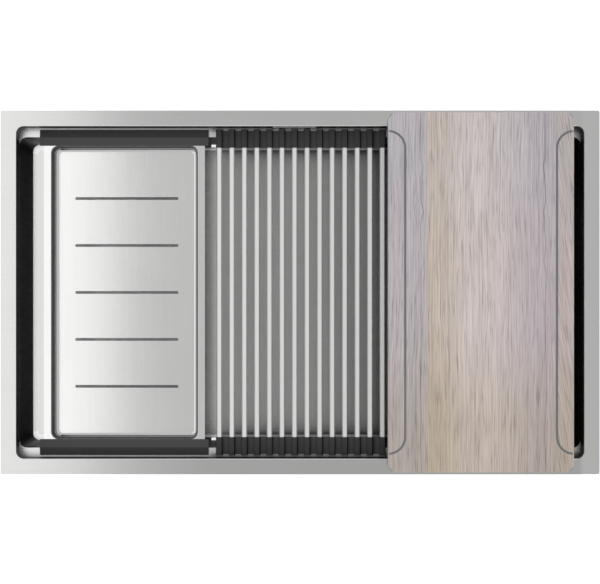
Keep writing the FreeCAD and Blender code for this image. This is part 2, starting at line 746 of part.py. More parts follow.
def make_ledge_frame():
    """Flat frame between the upper walls and the bowl, wide in front and behind."""

    def draw(name):
        body = new_body(name)
        outline = level_sketch(body, f"{name}_outlines", ledge_under)
        rounded_rectangle(outline, MIDDLE, wall_half, outer_corner)
        rounded_rectangle(outline, MIDDLE, well_half, opening_corner)
        pad(body, f"{name}_sheet", outline, bowl_sheet)
        return body

    pieces = eight_pieces("ledge", draw, well_straight, wall_half, ledge_under, ledge_z)
    return joined("ledge_frame", pieces)


def make_bowl_walls():
    """Upright walls of the bowl, from the ledges down to the bends at the floor."""

    def draw(name):
        body = new_body(name)
        outline = level_sketch(body, f"{name}_outlines", bend_top_z)
        rounded_rectangle(outline, MIDDLE, bowl_half, outer_corner)
        rounded_rectangle(outline, MIDDLE, well_half, opening_corner)
        pad(body, f"{name}_ring", outline, ledge_under - bend_top_z)
        return body

    pieces = eight_pieces("bowl_wall", draw, well_straight, bowl_half, bend_top_z, ledge_under)
    return joined("bowl_walls", pieces)


def make_floor_bends():
    """Bends between the bowl's walls and its floor, and the ends of the floor at them."""

    def draw(name):
        return bent_frame(
            name, well_half, opening_corner, bowl_sheet, floor_bend, floor_z, well_straight
        )

    pieces = eight_pieces("bend", draw, well_straight, bowl_half, floor_under_z, bend_top_z)
    return joined("floor_bends", pieces)


def make_bowl_floor():
    """Floor of the bowl inside its bends. It falls to a round seat for the drain."""
    body = new_body("bowl_floor")
    outline = level_sketch(body, "floor_outline", floor_under_z)
    far_x, far_y = well_straight
    rectangle(outline, (-far_x, -far_y), (far_x, far_y))
    pad(body, "floor_sheet", outline, bowl_sheet)
    make_fall(body, "PartDesign::AdditiveWedge", "fall_outside", bowl_sheet)
    seat = level_sketch(body, "recess_outside", recess_z - bowl_sheet)
    circle(seat, (drain_x, drain_y), recess_radius + bowl_sheet)
    pad(body, "recess_boss", seat, recess_depth + bowl_sheet)
    make_fall(body, "PartDesign::SubtractiveWedge", "fall_inside", ZERO)
    dip = level_sketch(body, "recess_inside", fall_z)
    circle(dip, (drain_x, drain_y), recess_radius)
    pocket(body, "recess_dip", dip, recess_depth)
    hole = level_sketch(body, "drain_circle", recess_z)
    circle(hole, (drain_x, drain_y), drain_hole_radius)
    pocket(body, "drain_hole", hole, bowl_sheet + overrun)
    return body


def make_fall(body, kind, name, below):
    """Four flat faces from the level strip along the walls down to the drain."""
    wedge = body.newObject(kind, name)
    wedge.AttachmentSupport = [(origin_part(body, "XY_Plane"), "")]
    wedge.MapMode = "FlatFace"
    wedge.AttachmentOffset = Placement(Vector(0, 0, 0), Rotation(Vector(1, 0, 0), 90))
    bind(wedge, "AttachmentOffset.Base.z", fall_z - below)
    limits = {
        "Xmin": drain_x - drain_pad_half,
        "Xmax": drain_x + drain_pad_half,
        "Zmin": -drain_y - drain_pad_half,
        "Zmax": drain_pad_half - drain_y,
        "X2min": -fall_half_x,
        "X2max": fall_half_x,
        "Z2min": -fall_half_y,
        "Z2max": fall_half_y,
        "Ymin": ZERO,
        "Ymax": fall_depth,
    }
    for limit, size in limits.items():
        bind(wedge, limit, size)
    finished(body, wedge)


def make_sound_pads():
    """Rubber pads on the outside of the four walls and under the floor.

    The wall pads end below the folded clips, so that both keep clear of each other.
    """
    low = floor_z + pad_above_floor
    high = -bracket_drop - clip_bolt_length - pad_below_clips
    front_face = bowl_half_y + bowl_sheet
    side_face = opening_half_x + bowl_sheet
    walls = (
        ("pad_back", -pad_long / 2, front_face, pad_long, pad_thick),
        ("pad_front", -pad_long / 2, -front_face - pad_thick, pad_long, pad_thick),
        ("pad_left", -side_face - pad_thick, -pad_short / 2, pad_thick, pad_short),
        ("pad_right", side_face, -pad_short / 2, pad_thick, pad_short),
    )
    pads = []
    for name, x, y, length, width in walls:
        block = doc.addObject("Part::Box", name)
        block.Label = name
        bind(block, "Length", length)
        bind(block, "Width", width)
        bind(block, "Height", high - low)
        place(block, x, y, low)
        pads.append(block)

    body = new_body("pad_floor")
    sketch = level_sketch(body, "pad_floor_outline", -pad_thick)
    rectangle(
        sketch,
        (floor_pad_from_edge, -floor_pad_width / 2),
        (floor_pad_from_edge + floor_pad_length, floor_pad_width / 2),
    )
    pad(body, "pad_floor_sheet", sketch, pad_thick)
    slope = slope_angle(fall_depth, drain_x - drain_pad_half + fall_half_x)
    body.Placement = Placement(Vector(0, 0, 0), Rotation(Vector(0, 1, 0), slope.value))
    place(body, -fall_half_x, ZERO, floor_under_z)
    bind(body, "Placement.Rotation.Angle", slope)
    pads.append(body)
    return pads


# Where the clips stand, as shares of the half length and the half width
LONG_SIDE_CLIP_SHARES = (-0.8, -0.27, 0.27, 0.8)
SHORT_SIDE_CLIP_SHARES = (-0.5, 0.5)


def clip_places():
    """Every clip's place on the bowl's wall and the way that it faces."""
    side_face = opening_half_x + bowl_sheet
    long_face = opening_half_y + bowl_sheet
    places = []
    for share in LONG_SIDE_CLIP_SHARES:
        places.append((share * opening_half_x, long_face, 0))
        places.append((-share * opening_half_x, -long_face, 180))
    for share in SHORT_SIDE_CLIP_SHARES:
        places.append((side_face, share * opening_half_y, -90))
        places.append((-side_face, -share * opening_half_y, 90))
    return places


def make_clips():
    """Worktop clips: welded bracket, hanging bolt, arm with a tooth, and wing nut."""
    tab_top = -bracket_drop
    tab_under = tab_top - clip_sheet

    bracket = new_body("clip_bracket")
    side = side_sketch(bracket, "bracket_profile", ZERO)
    corners = [
        (ZERO, tab_top - bracket_leg),
        (clip_sheet, tab_top - bracket_leg),
        (clip_sheet, tab_under),
        (bracket_reach, tab_under),
        (bracket_reach, tab_top),
        (ZERO, tab_top),
    ]
    polygon(side, corners)
    pad(bracket, "bracket_fold", side, bracket_length, both_ways=True)
    hole = level_sketch(bracket, "bracket_bolt_circle", tab_top)
    bolt_axis = (ZERO, clip_bolt_out)
    many_sided(hole, bolt_axis, clip_bolt_radius + screw_play, SMALL_ROUND_SIDES)
    pocket(bracket, "bracket_bolt_hole", hole, clip_sheet)

    bolt = new_body("clip_bolt")
    shank_end = tab_top - clip_bolt_length
    shank = level_sketch(bolt, "clip_bolt_shank_circle", shank_end)
    many_sided(shank, bolt_axis, clip_bolt_radius, SMALL_ROUND_SIDES)
    pad(bolt, "clip_bolt_shank", shank, clip_bolt_length)
    head = level_sketch(bolt, "clip_bolt_head_circle", tab_top)
    many_sided(head, bolt_axis, clip_head_radius, HEX_SIDES)
    pad(bolt, "clip_bolt_head", head, clip_head_height)

    arm = new_body("clip_arm")
    arm_under = -arm_drop
    arm_top = arm_under + arm_thick
    profile = upright_sketch(arm, "clip_arm_profile", clip_bolt_out + arm_width / 2)
    corners = [
        (-arm_tail, arm_under),
        (arm_reach, arm_under),
        (arm_reach, arm_top + tooth_height),
        (arm_reach - arm_thick, arm_top + tooth_height),
        (arm_reach - arm_thick, arm_top),
        (-arm_tail, arm_top),
    ]
    polygon(profile, corners)
    pad(arm, "clip_arm_fold", profile, arm_width)
    eye = level_sketch(arm, "clip_arm_circle", arm_top)
    many_sided(eye, bolt_axis, clip_bolt_radius + screw_play, SMALL_ROUND_SIDES)
    pocket(arm, "clip_arm_eye", eye, arm_thick)

    nut = new_body("clip_nut")
    hub = level_sketch(nut, "wing_nut_circles", arm_under - wing_nut_height)
    many_sided(hub, bolt_axis, wing_nut_radius, SMALL_ROUND_SIDES)
    many_sided(hub, bolt_axis, clip_bolt_radius + thread_play, SMALL_ROUND_SIDES)
    pad(nut, "wing_nut_hub", hub, wing_nut_height)
    wings = level_sketch(nut, "wing_outlines", arm_under - wing_drop - wing_height)
    for side_sign in (-1, 1):
        inner = side_sign * (clip_bolt_radius + wing_gap)
        outer = side_sign * wing_reach
        low_x, high_x = sorted((inner, outer), key=lambda size: size.value)
        low_y = clip_bolt_out - wing_thick / 2
        rectangle(wings, (low_x, low_y), (high_x, clip_bolt_out + wing_thick / 2))
    pad(nut, "wings", wings, wing_height)

    places = clip_places()
    return [
        group("clip_brackets", bracket, places),
        group("clip_bolts", bolt, places),
        group("clip_arms", arm, places),
        group("clip_nuts", nut, places),
    ]


# Faces of the overflow, one behind the other
cover_y = opening_half_y - cover_thick
wall_back_y = opening_half_y + bowl_sheet
housing_y = wall_back_y + overflow_gasket_thick
housing_back_y = housing_y + housing_depth


def make_overflow_cover():
    """Cover plate on the inside of the back wall, with a slot and two sunk holes."""
    body = new_body("overflow_cover")
    middle = (ZERO, ZERO)
    outline = upright_sketch(body, "cover_outline", ZERO)
    rounded_rectangle(outline, middle, (cover_length / 2, cover_height / 2), cover_corner)
    pad(body, "cover_plate", outline, cover_thick)
    slot = upright_sketch(body, "cover_slot_outline", -cover_thick)
    half = (overflow_slot_length / 2, overflow_slot_height / 2)
    rounded_rectangle(slot, middle, half, overflow_slot_corner)
    pocket(body, "cover_slot", slot, cover_thick)
    for number, side in enumerate((-1, 1), 1):
        wide = upright_sketch(body, f"cover_sink_wide_{number}", -cover_thick)
        where = (side * overflow_screw_spread / 2, ZERO)
        circle(wide, where, overflow_head_radius + screw_play)
        deep = upright_sketch(body, f"cover_sink_deep_{number}", ZERO)
        circle(deep, where, overflow_screw_radius + screw_play)
        loft(body, f"cover_sink_{number}", "PartDesign::SubtractiveLoft", wide, deep)
    place(body, -overflow_from_middle, opening_half_y, -overflow_below_seat)
    return body


def make_overflow_gasket():
    """Flat gasket between the bowl's wall and the housing."""
    body = new_body("overflow_gasket")
    middle = (ZERO, ZERO)
    outline = upright_sketch(body, "overflow_gasket_outline", overflow_gasket_thick)
    rounded_rectangle(outline, middle, (housing_length / 2, housing_height / 2), cover_corner)
    half = (overflow_slot_length / 2, overflow_slot_height / 2)
    rounded_rectangle(outline, middle, half, overflow_slot_corner)
    for side in (-1, 1):
        where = (side * overflow_screw_spread / 2, ZERO)
        circle(outline, where, overflow_screw_radius + screw_play)
    pad(body, "overflow_gasket_sheet", outline, overflow_gasket_thick)
    place(body, -overflow_from_middle, wall_back_y, -overflow_below_seat)
    return body


def make_overflow_housing():
    """Slim housing behind the wall: mouth, duct, foot and a spigot that points down."""
    body = new_body("overflow_housing")
    middle = (ZERO, ZERO)
    duct_half = duct_length / 2
    foot_top = foot_height - duct_drop
    foot_front = housing_depth - foot_reach
    spigot_y = housing_depth - foot_reach / 2

    back = upright_sketch(body, "housing_outline", housing_depth)
    rounded_rectangle(back, middle, (housing_length / 2, housing_height / 2), cover_corner)
    pad(body, "housing_block", back, housing_depth)
    duct = upright_sketch(body, "duct_outline", housing_depth)
    rectangle(duct, (-duct_half, -duct_drop), (duct_half, ZERO))
    pad(body, "duct_block", duct, housing_depth)
    foot = level_sketch(body, "foot_outline", -duct_drop)
    rectangle(foot, (-duct_half, foot_front), (duct_half, housing_depth))
    pad(body, "foot_block", foot, foot_height)
    spigot = level_sketch(body, "spigot_outside", -duct_drop)
    circle(spigot, (ZERO, spigot_y), spigot_radius)
    pad(body, "spigot_tube", spigot, spigot_length, backwards=True)

    mouth = upright_sketch(body, "housing_mouth_outline", ZERO)
    half = (overflow_slot_length / 2, overflow_slot_height / 2)
    rounded_rectangle(mouth, middle, half, overflow_slot_corner)
    pocket(body, "housing_mouth", mouth, housing_depth - housing_wall)
    inner_half = duct_half - housing_wall
    channel = upright_sketch(body, "duct_hollow_outline", housing_wall)
    low = housing_wall - duct_drop
    rectangle(channel, (-inner_half, low), (inner_half, ZERO))
    pocket(body, "duct_hollow", channel, housing_depth - 2 * housing_wall)
    sump = level_sketch(body, "foot_hollow_outline", foot_top - housing_wall)
    rectangle(
        sump,
        (-inner_half, foot_front + housing_wall),
        (inner_half, housing_depth - housing_wall),
    )
    pocket(body, "foot_hollow", sump, foot_height - 2 * housing_wall)
    bore = level_sketch(body, "spigot_bore_circle", low)
    circle(bore, (ZERO, spigot_y), spigot_bore_radius)
    pocket(body, "spigot_bore", bore, spigot_length + housing_wall)
    holes = upright_sketch(body, "housing_screw_circles", ZERO)
    for side in (-1, 1):
        where = (side * overflow_screw_spread / 2, ZERO)
        circle(holes, where, overflow_screw_radius + thread_play)
    pocket(body, "housing_screw_holes", holes, housing_depth - housing_wall)
    place(body, -overflow_from_middle, housing_y, -overflow_below_seat)
    return body


def make_overflow_screws():
    """The two sunk screws that hold cover, gasket and housing together."""
    screw = new_body("overflow_screw")
    section = level_sketch(screw, "overflow_screw_section", ZERO)
    corners = [
        (ZERO, ZERO),
        (overflow_head_radius, ZERO),
        (overflow_screw_radius, cover_thick),
        (overflow_screw_radius, overflow_screw_length),
        (ZERO, overflow_screw_length),
    ]
    polygon(section, corners)
    turned = screw.newObject("PartDesign::Revolution", "overflow_screw_turned")
    turned.Profile = section
    turned.ReferenceAxis = (section, ["V_Axis"])
    finished(screw, turned)
    places = []
    for side in (-1, 1):
        x = side * overflow_screw_spread / 2 - overflow_from_middle
        places.append((x, cover_y, 0))
    screws = group("overflow_screws", screw, places)
    for link in screws.Links:
        bind(link, ".Placement.Base.z", -overflow_below_seat)
    return screws


# Heights of the waste fitting, from the bowl's floor down
upper_gasket_top = recess_z + upper_gasket_thick
cup_flange_top = upper_gasket_top + cup_sheet
cup_floor_z = cup_flange_top - cup_depth
cup_under_z = cup_floor_z - cup_sheet
recess_under_z = recess_z - bowl_sheet
waste_top_z = recess_under_z - lower_gasket_thick
seal_top_z = cup_floor_z + basket_seal_thick


def make_ring(name, inner, outer, low, high):
    """A flat ring about the drain's axis."""
    body = new_body(name)
    sketch = level_sketch(body, f"{name}_circles", low)
    circle(sketch, (ZERO, ZERO), outer)
    circle(sketch, (ZERO, ZERO), inner)
    pad(body, f"{name}_ring", sketch, high - low)
    place(body, drain_x, drain_y)
    return body


def make_strainer_cup():
    """Pressed steel cup that hangs in the drain hole by its flange."""
    body = new_body("strainer_cup")
    outer = cup_radius + cup_sheet
    corners = [
        (ZERO, cup_floor_z),
        (cup_radius, cup_floor_z),
        (cup_radius, cup_flange_top),
        (cup_flange_radius, cup_flange_top),
        (cup_flange_radius, upper_gasket_top),
        (outer, upper_gasket_top),
        (outer, cup_under_z),
        (ZERO, cup_under_z),
    ]
    revolve(body, "cup_shell", corners)
    hole = level_sketch(body, "flow_hole_outline", cup_floor_z)
    many_sided(hole, (flow_hole_ring, ZERO), flow_hole_radius, HEX_SIDES)
    flow = pocket(body, "flow_hole", hole, cup_sheet)
    around(body, "flow_holes", flow, FLOW_HOLE_COUNT)
    centre = level_sketch(body, "clamp_hole_circle", cup_floor_z)
    circle(centre, (ZERO, ZERO), clamp_shank_radius + screw_play)
    pocket(body, "clamp_hole", centre, cup_sheet)
    place(body, drain_x, drain_y)
    return body


def make_waste_body():
    """Moulded waste under the bowl: tub, outlet, overflow inlet and the screw's boss."""
    body = new_body("waste_body")
    outer = waste_bore_radius + waste_wall
    sump_z = cup_under_z - waste_sump
    sump_under_z = sump_z - waste_wall
    outlet_end = sump_under_z - outlet_length
    corners = [
        (waste_bore_radius, waste_top_z),
        (gasket_outer_radius, waste_top_z),
        (gasket_outer_radius, waste_top_z - waste_flange_thick),
        (outer, waste_top_z - waste_flange_thick),
        (outer, sump_under_z),
        (outlet_radius, sump_under_z),
        (outlet_radius, outlet_end),
        (outlet_bore_radius, outlet_end),
        (outlet_bore_radius, sump_z),
        (waste_bore_radius, sump_z),
    ]
    revolve(body, "waste_shell", corners)
    rib_top = cup_under_z - rib_drop
    ribs = level_sketch(body, "waste_rib_outlines", rib_top - rib_height)
    reach = waste_bore_radius + waste_wall / 2
    rectangle(ribs, (ZERO, -rib_thick / 2), (reach, rib_thick / 2))
    rib = pad(body, "waste_rib", ribs, rib_height)
    around(body, "waste_ribs", rib, RIB_COUNT)
    boss = level_sketch(body, "waste_boss_circle", cup_under_z - boss_height)
    circle(boss, (ZERO, ZERO), boss_radius)
    pad(body, "waste_boss", boss, boss_height)
    thread = level_sketch(body, "waste_thread_circle", cup_under_z)
    circle(thread, (ZERO, ZERO), clamp_shank_radius + thread_play)
    pocket(body, "waste_thread", thread, boss_height)

    inlet_z = waste_top_z - inlet_drop
    root_x = -waste_bore_radius - waste_wall / 2
    collar = side_sketch(body, "inlet_collar_circle", root_x)
    circle(collar, (ZERO, inlet_z), inlet_collar_radius)
    pad(body, "inlet_collar", collar, inlet_collar_reach + waste_wall / 2, backwards=True)
    tube = side_sketch(body, "inlet_outside", root_x)
    circle(tube, (ZERO, inlet_z), inlet_radius)
    pad(body, "inlet_tube", tube, inlet_length + waste_wall / 2, backwards=True)
    bore = side_sketch(body, "inlet_inside", -outer - inlet_length)
    circle(bore, (ZERO, inlet_z), inlet_bore_radius)
    pocket(body, "inlet_bore", bore, inlet_length + waste_wall + overrun, backwards=True)
    place(body, drain_x, drain_y)
    return body


def make_clamp_screw():
    """Screw that pulls the waste body up against the cup."""
    body = new_body("clamp_screw")
    top = cup_floor_z + clamp_head_height
    end = cup_floor_z - clamp_length
    corners = [
        (ZERO, end),
        (clamp_shank_radius, end),
        (clamp_shank_radius, cup_floor_z),
        (clamp_head_radius, cup_floor_z),
        (clamp_head_radius, top),
        (ZERO, top),
    ]
    revolve(body, "clamp_screw_turned", corners)
    place(body, drain_x, drain_y)
    return body


def make_strainer_basket():
    """Round basket: a flat base, and a wall with slots all round and a turned rim."""
    base = seal_top_z
    floor = base + basket_sheet
    rim = base + basket_height
    rim_radius = cup_radius - basket_play
    wall_radius = rim_radius - basket_rim_reach
    bottom = new_body("basket_base")
    disc = level_sketch(bottom, "basket_base_circle", base)
    circle(disc, MIDDLE, wall_radius)
    pad(bottom, "basket_disc", disc, basket_sheet)

    wall = new_body("basket_wall")
    corners = [
        (wall_radius - basket_sheet, floor),
        (wall_radius, floor),
        (wall_radius, rim - basket_sheet),
        (rim_radius, rim - basket_sheet),
        (rim_radius, rim),
        (wall_radius - basket_sheet, rim),
    ]
    revolve(wall, "basket_ring", corners)
    slot = upright_sketch(wall, "basket_slot_outline", wall_radius / 2)
    low = base + (basket_height - basket_slot_height) / 2
    rectangle(slot, (-basket_slot_width / 2, low), (basket_slot_width / 2, low + basket_slot_height))
    cut = pocket(wall, "basket_slot", slot, wall_radius)
    around(wall, "basket_slots", cut, BASKET_SLOT_COUNT)
    basket = joined("strainer_basket", [bottom, wall])
    place(basket, drain_x, drain_y)
    return basket


def make_basket_knob():
    """Grip that stands on the basket's base."""
    body = new_body("basket_knob")
    foot = seal_top_z + basket_sheet
    foot_top = foot + knob_foot_thick
    grip = foot + knob_stem_length
    top = grip + knob_height
    corners = [
        (ZERO, foot),
        (knob_foot_radius, foot),
        (knob_foot_radius, foot_top),
        (knob_stem_radius, foot_top),
        (knob_stem_radius, grip),
        (knob_radius, grip),
        (knob_radius, top),
        (ZERO, top),
    ]
    revolve(body, "knob_turned", corners)
    place(body, drain_x, drain_y)
    return body


# Places of the colander
runner_half = runner_length / 2
colander_x = colander_from_wall + runner_half - opening_half_x
tray_outer_half_y = bowl_half_y - tray_wall_gap
tray_half_y = tray_outer_half_y - tray_sheet
tray_lip_half_y = tray_outer_half_y + tray_lip_end
tray_lip_half_x = runner_half - tray_lip_side / 2
tray_half_x = tray_lip_half_x - tray_lip_side
tray_lip_under = ledge_z + runner_sole
tray_lip_top = tray_lip_under + tray_sheet


def make_colander_tray():
    """Folded tray: lip all round, turned down at both sides, and slots in its floor."""
    half = (tray_half_x, tray_half_y)
    outer_half = (tray_half_x + tray_sheet, tray_outer_half_y)
    straight = (tray_half_x - tray_corner, tray_half_y - tray_corner)
    around_corner = tray_corner + tray_sheet
    floor = tray_lip_top - tray_depth
    floor_under = floor - tray_sheet
    bend_top = floor + tray_floor_bend

    def draw_lip(name):
        body = new_body(name)
        lip = level_sketch(body, f"{name}_outlines", tray_lip_under)
        far_x, far_y = (tray_lip_half_x, tray_lip_half_y)
        rectangle(lip, (-far_x, -far_y), (far_x, far_y))
        rounded_rectangle(lip, MIDDLE, half, tray_corner)
        ring = pad(body, f"{name}_sheet", lip, tray_sheet)
        edge = level_at(tray_lip_top, inside=half)
        chamfer(body, f"{name}_bevel", ring, edge, tray_fold)
        return body

    def draw_walls(name):
        body = new_body(name)
        outline = level_sketch(body, f"{name}_outlines", bend_top)
        rounded_rectangle(outline, MIDDLE, outer_half, around_corner)
        rounded_rectangle(outline, MIDDLE, half, tray_corner)
        pad(body, f"{name}_ring", outline, tray_lip_under - bend_top)
        return body

    def draw_bends(name):
        return bent_frame(
            name, half, tray_corner, tray_sheet, tray_floor_bend, floor, straight
        )

    lip_half = (tray_lip_half_x, tray_lip_half_y)
    pieces = eight_pieces("tray_lip", draw_lip, straight, lip_half, tray_lip_under, tray_lip_top)
    pieces += eight_pieces("tray_wall", draw_walls, straight, outer_half, bend_top, tray_lip_under)
    pieces += eight_pieces("tray_bend", draw_bends, straight, outer_half, floor_under, bend_top)

    hems = new_body("tray_hems")
    outline = level_sketch(hems, "tray_hem_outlines", tray_lip_top - tray_hem)
    inner_x = tray_lip_half_x - tray_sheet
    rectangle(outline, (-tray_lip_half_x, -tray_half_y), (-inner_x, tray_half_y))
    rectangle(outline, (inner_x, -tray_half_y), (tray_lip_half_x, tray_half_y))
    pad(hems, "tray_hem_strips", outline, tray_hem - tray_sheet)

    plate = new_body("tray_floor")
    flat = level_sketch(plate, "tray_floor_outline", floor_under)
    rectangle(flat, (-straight[0], -straight[1]), straight)
    pad(plate, "tray_floor_sheet", flat, tray_sheet)
    slot = level_sketch(plate, "tray_slot_outline", floor)
    first = -slot_pitch * (SLOT_COUNT - 1) / 2
    rounded_rectangle(slot, (ZERO, first), (slot_length / 2, slot_width / 2), slot_corner)
    cut = pocket(plate, "tray_slot", slot, tray_sheet)
    row = plate.newObject("PartDesign::LinearPattern", "tray_slots")
    row.Originals = [cut]
    row.Direction = (origin_part(plate, "Y_Axis"), [""])
    row.Occurrences = SLOT_COUNT
    bind(row, "Length", slot_pitch * (SLOT_COUNT - 1))
    finished(plate, row)
    tray = joined("colander_tray", pieces + [hems, plate])
    place(tray, colander_x)
    return tray


def make_runner(name, side):
    """Ridged runner that grips the tray's lip and stands on the ledge."""
    body = new_body(name)
    outer = opening_half_y - runner_play
    inner = tray_half_y + runner_lip
    ridge = (outer + inner) / 2
    jaw = tray_outer_half_y + runner_jaw_gap
    ridge_z = ledge_z + runner_height
    profile = side_sketch(body, f"{name}_profile", ZERO)
    corners = [
        (jaw, ledge_z),
        (outer, ledge_z),
        (outer, ledge_z + runner_outer_height),
        (ridge, ridge_z),
        (inner, ledge_z + runner_inner_height),
        (inner, tray_lip_top + grip_play),
        (jaw, tray_lip_top + grip_play),
    ]
    if side < 0:
        corners = [(-y, z) for y, z in corners]
    polygon(profile, corners)
    blank = pad(body, f"{name}_bar", profile, runner_length, both_ways=True)
    fillet(body, f"{name}_ridge", blank, along_x_at(side * ridge, ridge_z), runner_round)
    mouth = side_sketch(body, f"{name}_grip_profile", ZERO)
    low = (inner, tray_lip_under - grip_play)
    high = (tray_lip_half_y + grip_play, tray_lip_top + grip_play)
    if side < 0:
        low, high = (-high[0], low[1]), (-low[0], high[1])
    rectangle(mouth, low, high)
    pocket(body, f"{name}_grip", mouth, 2 * (tray_lip_half_x + grip_play), both_ways=True)
    place(body, colander_x)
    return body


# Places of the rack
sleeve_half = bar_width / 2 + sleeve_wall
first_bar_x = colander_x + runner_half + rack_from_colander + sleeve_half
rack_under_z = ledge_z + rack_play
bar_middle_z = rack_under_z + sleeve_sole + bar_height / 2
sleeve_outer_y = opening_half_y - sleeve_play
sleeve_inner_y = sleeve_outer_y - sleeve_length
bar_half_y = sleeve_outer_y - sleeve_end


def make_rack_bar(number):
    """One steel tube of the rack, with flat sides and bevelled edges."""
    name = f"rack_bar_{number:02d}"
    body = new_body(name)
    section = upright_sketch(body, f"{name}_section", ZERO)
    middle = (ZERO, bar_middle_z)
    half = (bar_width / 2, bar_height / 2)
    bevelled_rectangle(section, middle, half, bar_bevel)
    bore_x = half[0] - bar_wall
    bore_z = half[1] - bar_wall
    low = (-bore_x, bar_middle_z - bore_z)
    rectangle(section, low, (bore_x, bar_middle_z + bore_z))
    pad(body, f"{name}_tube", section, 2 * bar_half_y, both_ways=True)
    place(body, first_bar_x + (number - 1) * bar_pitch)
    return body


def make_rack_sleeves(number):
    """The two rubber sleeves of one bar, each with half of the web to its neighbours."""
    name = f"rack_sleeves_{number:02d}"
    body = new_body(name)
    middle = (ZERO, bar_middle_z)
    half = (sleeve_half, bar_height / 2 + sleeve_sole)
    block = upright_sketch(body, f"{name}_block_outline", sleeve_outer_y)
    bevelled_rectangle(block, middle, half, sleeve_bevel)
    blank = pad(body, f"{name}_block", block, sleeve_length)
    left = ZERO if number == 1 else -bar_pitch / 2
    right = ZERO if number == BAR_COUNT else bar_pitch / 2
    web = upright_sketch(body, f"{name}_web_outline", sleeve_outer_y - web_set_back)
    rectangle(web, (left, rack_under_z), (right, rack_under_z + web_thick))
    strip = pad(body, f"{name}_web", web, sleeve_length - web_set_back)
    seat = upright_sketch(body, f"{name}_seat_outline", sleeve_inner_y)
    seat_half = (bar_width / 2 + grip_play, bar_height / 2 + grip_play)
    bevelled_rectangle(seat, middle, seat_half, bar_bevel)
    hole = pocket(body, f"{name}_seat", seat, sleeve_length - sleeve_end)
    mirrored(body, f"{name}_front", [blank, strip, hole], "XZ_Plane")
    place(body, first_bar_x + (number - 1) * bar_pitch)
    return body


# Places of the board
board_half_x = board_length / 2
board_half_y = opening_half_y + board_overlap
last_bar_x = first_bar_x + (BAR_COUNT - 1) * bar_pitch
board_x = last_bar_x + sleeve_half + board_from_rack + board_half_x


def draw_groove(sketch):
    """Path of the left groove: in from the side, round a quarter, along, and out again."""
    end_y = board_half_y - groove_end
    edge = -board_half_x
    run_x = edge + groove_inset
    turn_y = end_y - groove_inset
    outside = edge - overrun
    lines = (
        ((outside, end_y), (edge, end_y)),
        ((run_x, turn_y), (run_x, -turn_y)),
        ((edge, -end_y), (outside, -end_y)),
    )
    for index, (start, end) in enumerate(lines):
        sketch.addGeometry(Part.LineSegment(flat_vector(start), flat_vector(end)), False)
        pin_point(sketch, index, 1, start)
        pin_point(sketch, index, 2, end)
    for sign, from_turn in ((1, 0), (-1, 3)):
        round_bend = Part.Circle(flat_vector((edge, sign * turn_y)), Vector(0, 0, 1), groove_inset.value)
        angles = (from_turn * math.pi / 2, (from_turn + 1) * math.pi / 2)
        bend = sketch.addGeometry(Part.ArcOfCircle(round_bend, *angles), False)
        pin_radius(sketch, bend, groove_inset)
    join_ends(sketch, 3, 2, 0, 2)
    join_ends(sketch, 3, 1, 1, 1)
    join_ends(sketch, 4, 2, 1, 2)
    join_ends(sketch, 4, 1, 2, 1)


def make_cutting_board():
    """Wooden board with a groove along each side and a step underneath."""
    body = new_body("cutting_board")
    middle = (ZERO, ZERO)
    outline = level_sketch(body, "board_outline", ZERO)
    rounded_rectangle(outline, middle, (board_half_x, board_half_y), board_corner)
    blank = pad(body, "board_slab", outline, board_thick)
    chamfer(body, "board_edge", blank, level_at(board_thick), board_bevel)
    step = level_sketch(body, "board_step_outline", -step_depth)
    step_half = (board_half_x - step_inset, opening_half_y - step_play)
    rounded_rectangle(step, middle, step_half, board_corner)
    pad(body, "board_step", step, step_depth)
    path = level_sketch(body, "groove_path", board_thick + groove_lift)
    draw_groove(path)
    cutter = side_sketch(body, "groove_section", -board_half_x - overrun)
    run_y = board_half_y - groove_end
    corners = [
        (run_y - groove_floor_half, board_thick - groove_depth),
        (run_y + groove_floor_half, board_thick - groove_depth),
        (run_y + groove_half_width, board_thick + groove_lift),
        (run_y - groove_half_width, board_thick + groove_lift),
    ]
    polygon(cutter, corners)
    groove = body.newObject("PartDesign::SubtractivePipe", "board_groove")
    groove.Profile = cutter
    groove.Spine = path
    finished(body, groove)
    mirrored(body, "board_grooves", [groove], "YZ_Plane")
    place(body, board_x, ZERO, rim_thick)
    return body


def build_parts():
    """Every sub-part of the sink, each an object that becomes one file."""
    parts = [
        make_rim_plate(),
        make_upper_walls(),
        make_ledge_frame(),
        make_bowl_walls(),
        make_floor_bends(),
        make_bowl_floor(),
    ]
    parts += make_sound_pads()
    parts += make_clips()
    parts += [
        make_overflow_cover(),
        make_overflow_gasket(),
        make_overflow_housing(),
        make_overflow_screws(),
        make_ring(
            "strainer_gasket", gasket_inner_radius, gasket_outer_radius, recess_z, upper_gasket_top
        ),
        make_ring(
            "waste_gasket", gasket_inner_radius, gasket_outer_radius, waste_top_z, recess_under_z
        ),
        make_strainer_cup(),
        make_waste_body(),
        make_clamp_screw(),
        make_ring(
            "basket_seal", basket_seal_bore, basket_seal_radius, cup_floor_z, seal_top_z
        ),
        make_strainer_basket(),
        make_basket_knob(),
        make_colander_tray(),
        make_runner("colander_runner_back", 1),
        make_runner("colander_runner_front", -1),
    ]
    for number in range(1, BAR_COUNT + 1):
        parts.append(make_rack_bar(number))
        parts.append(make_rack_sleeves(number))
    parts.append(make_cutting_board())
    return parts


# The kinds of feature that must take material away
CUTTING_KINDS = (
    "PartDesign::Pocket",
    "PartDesign::SubtractiveLoft",
    "PartDesign::SubtractiveWedge",
    "PartDesign::SubtractivePipe",
)


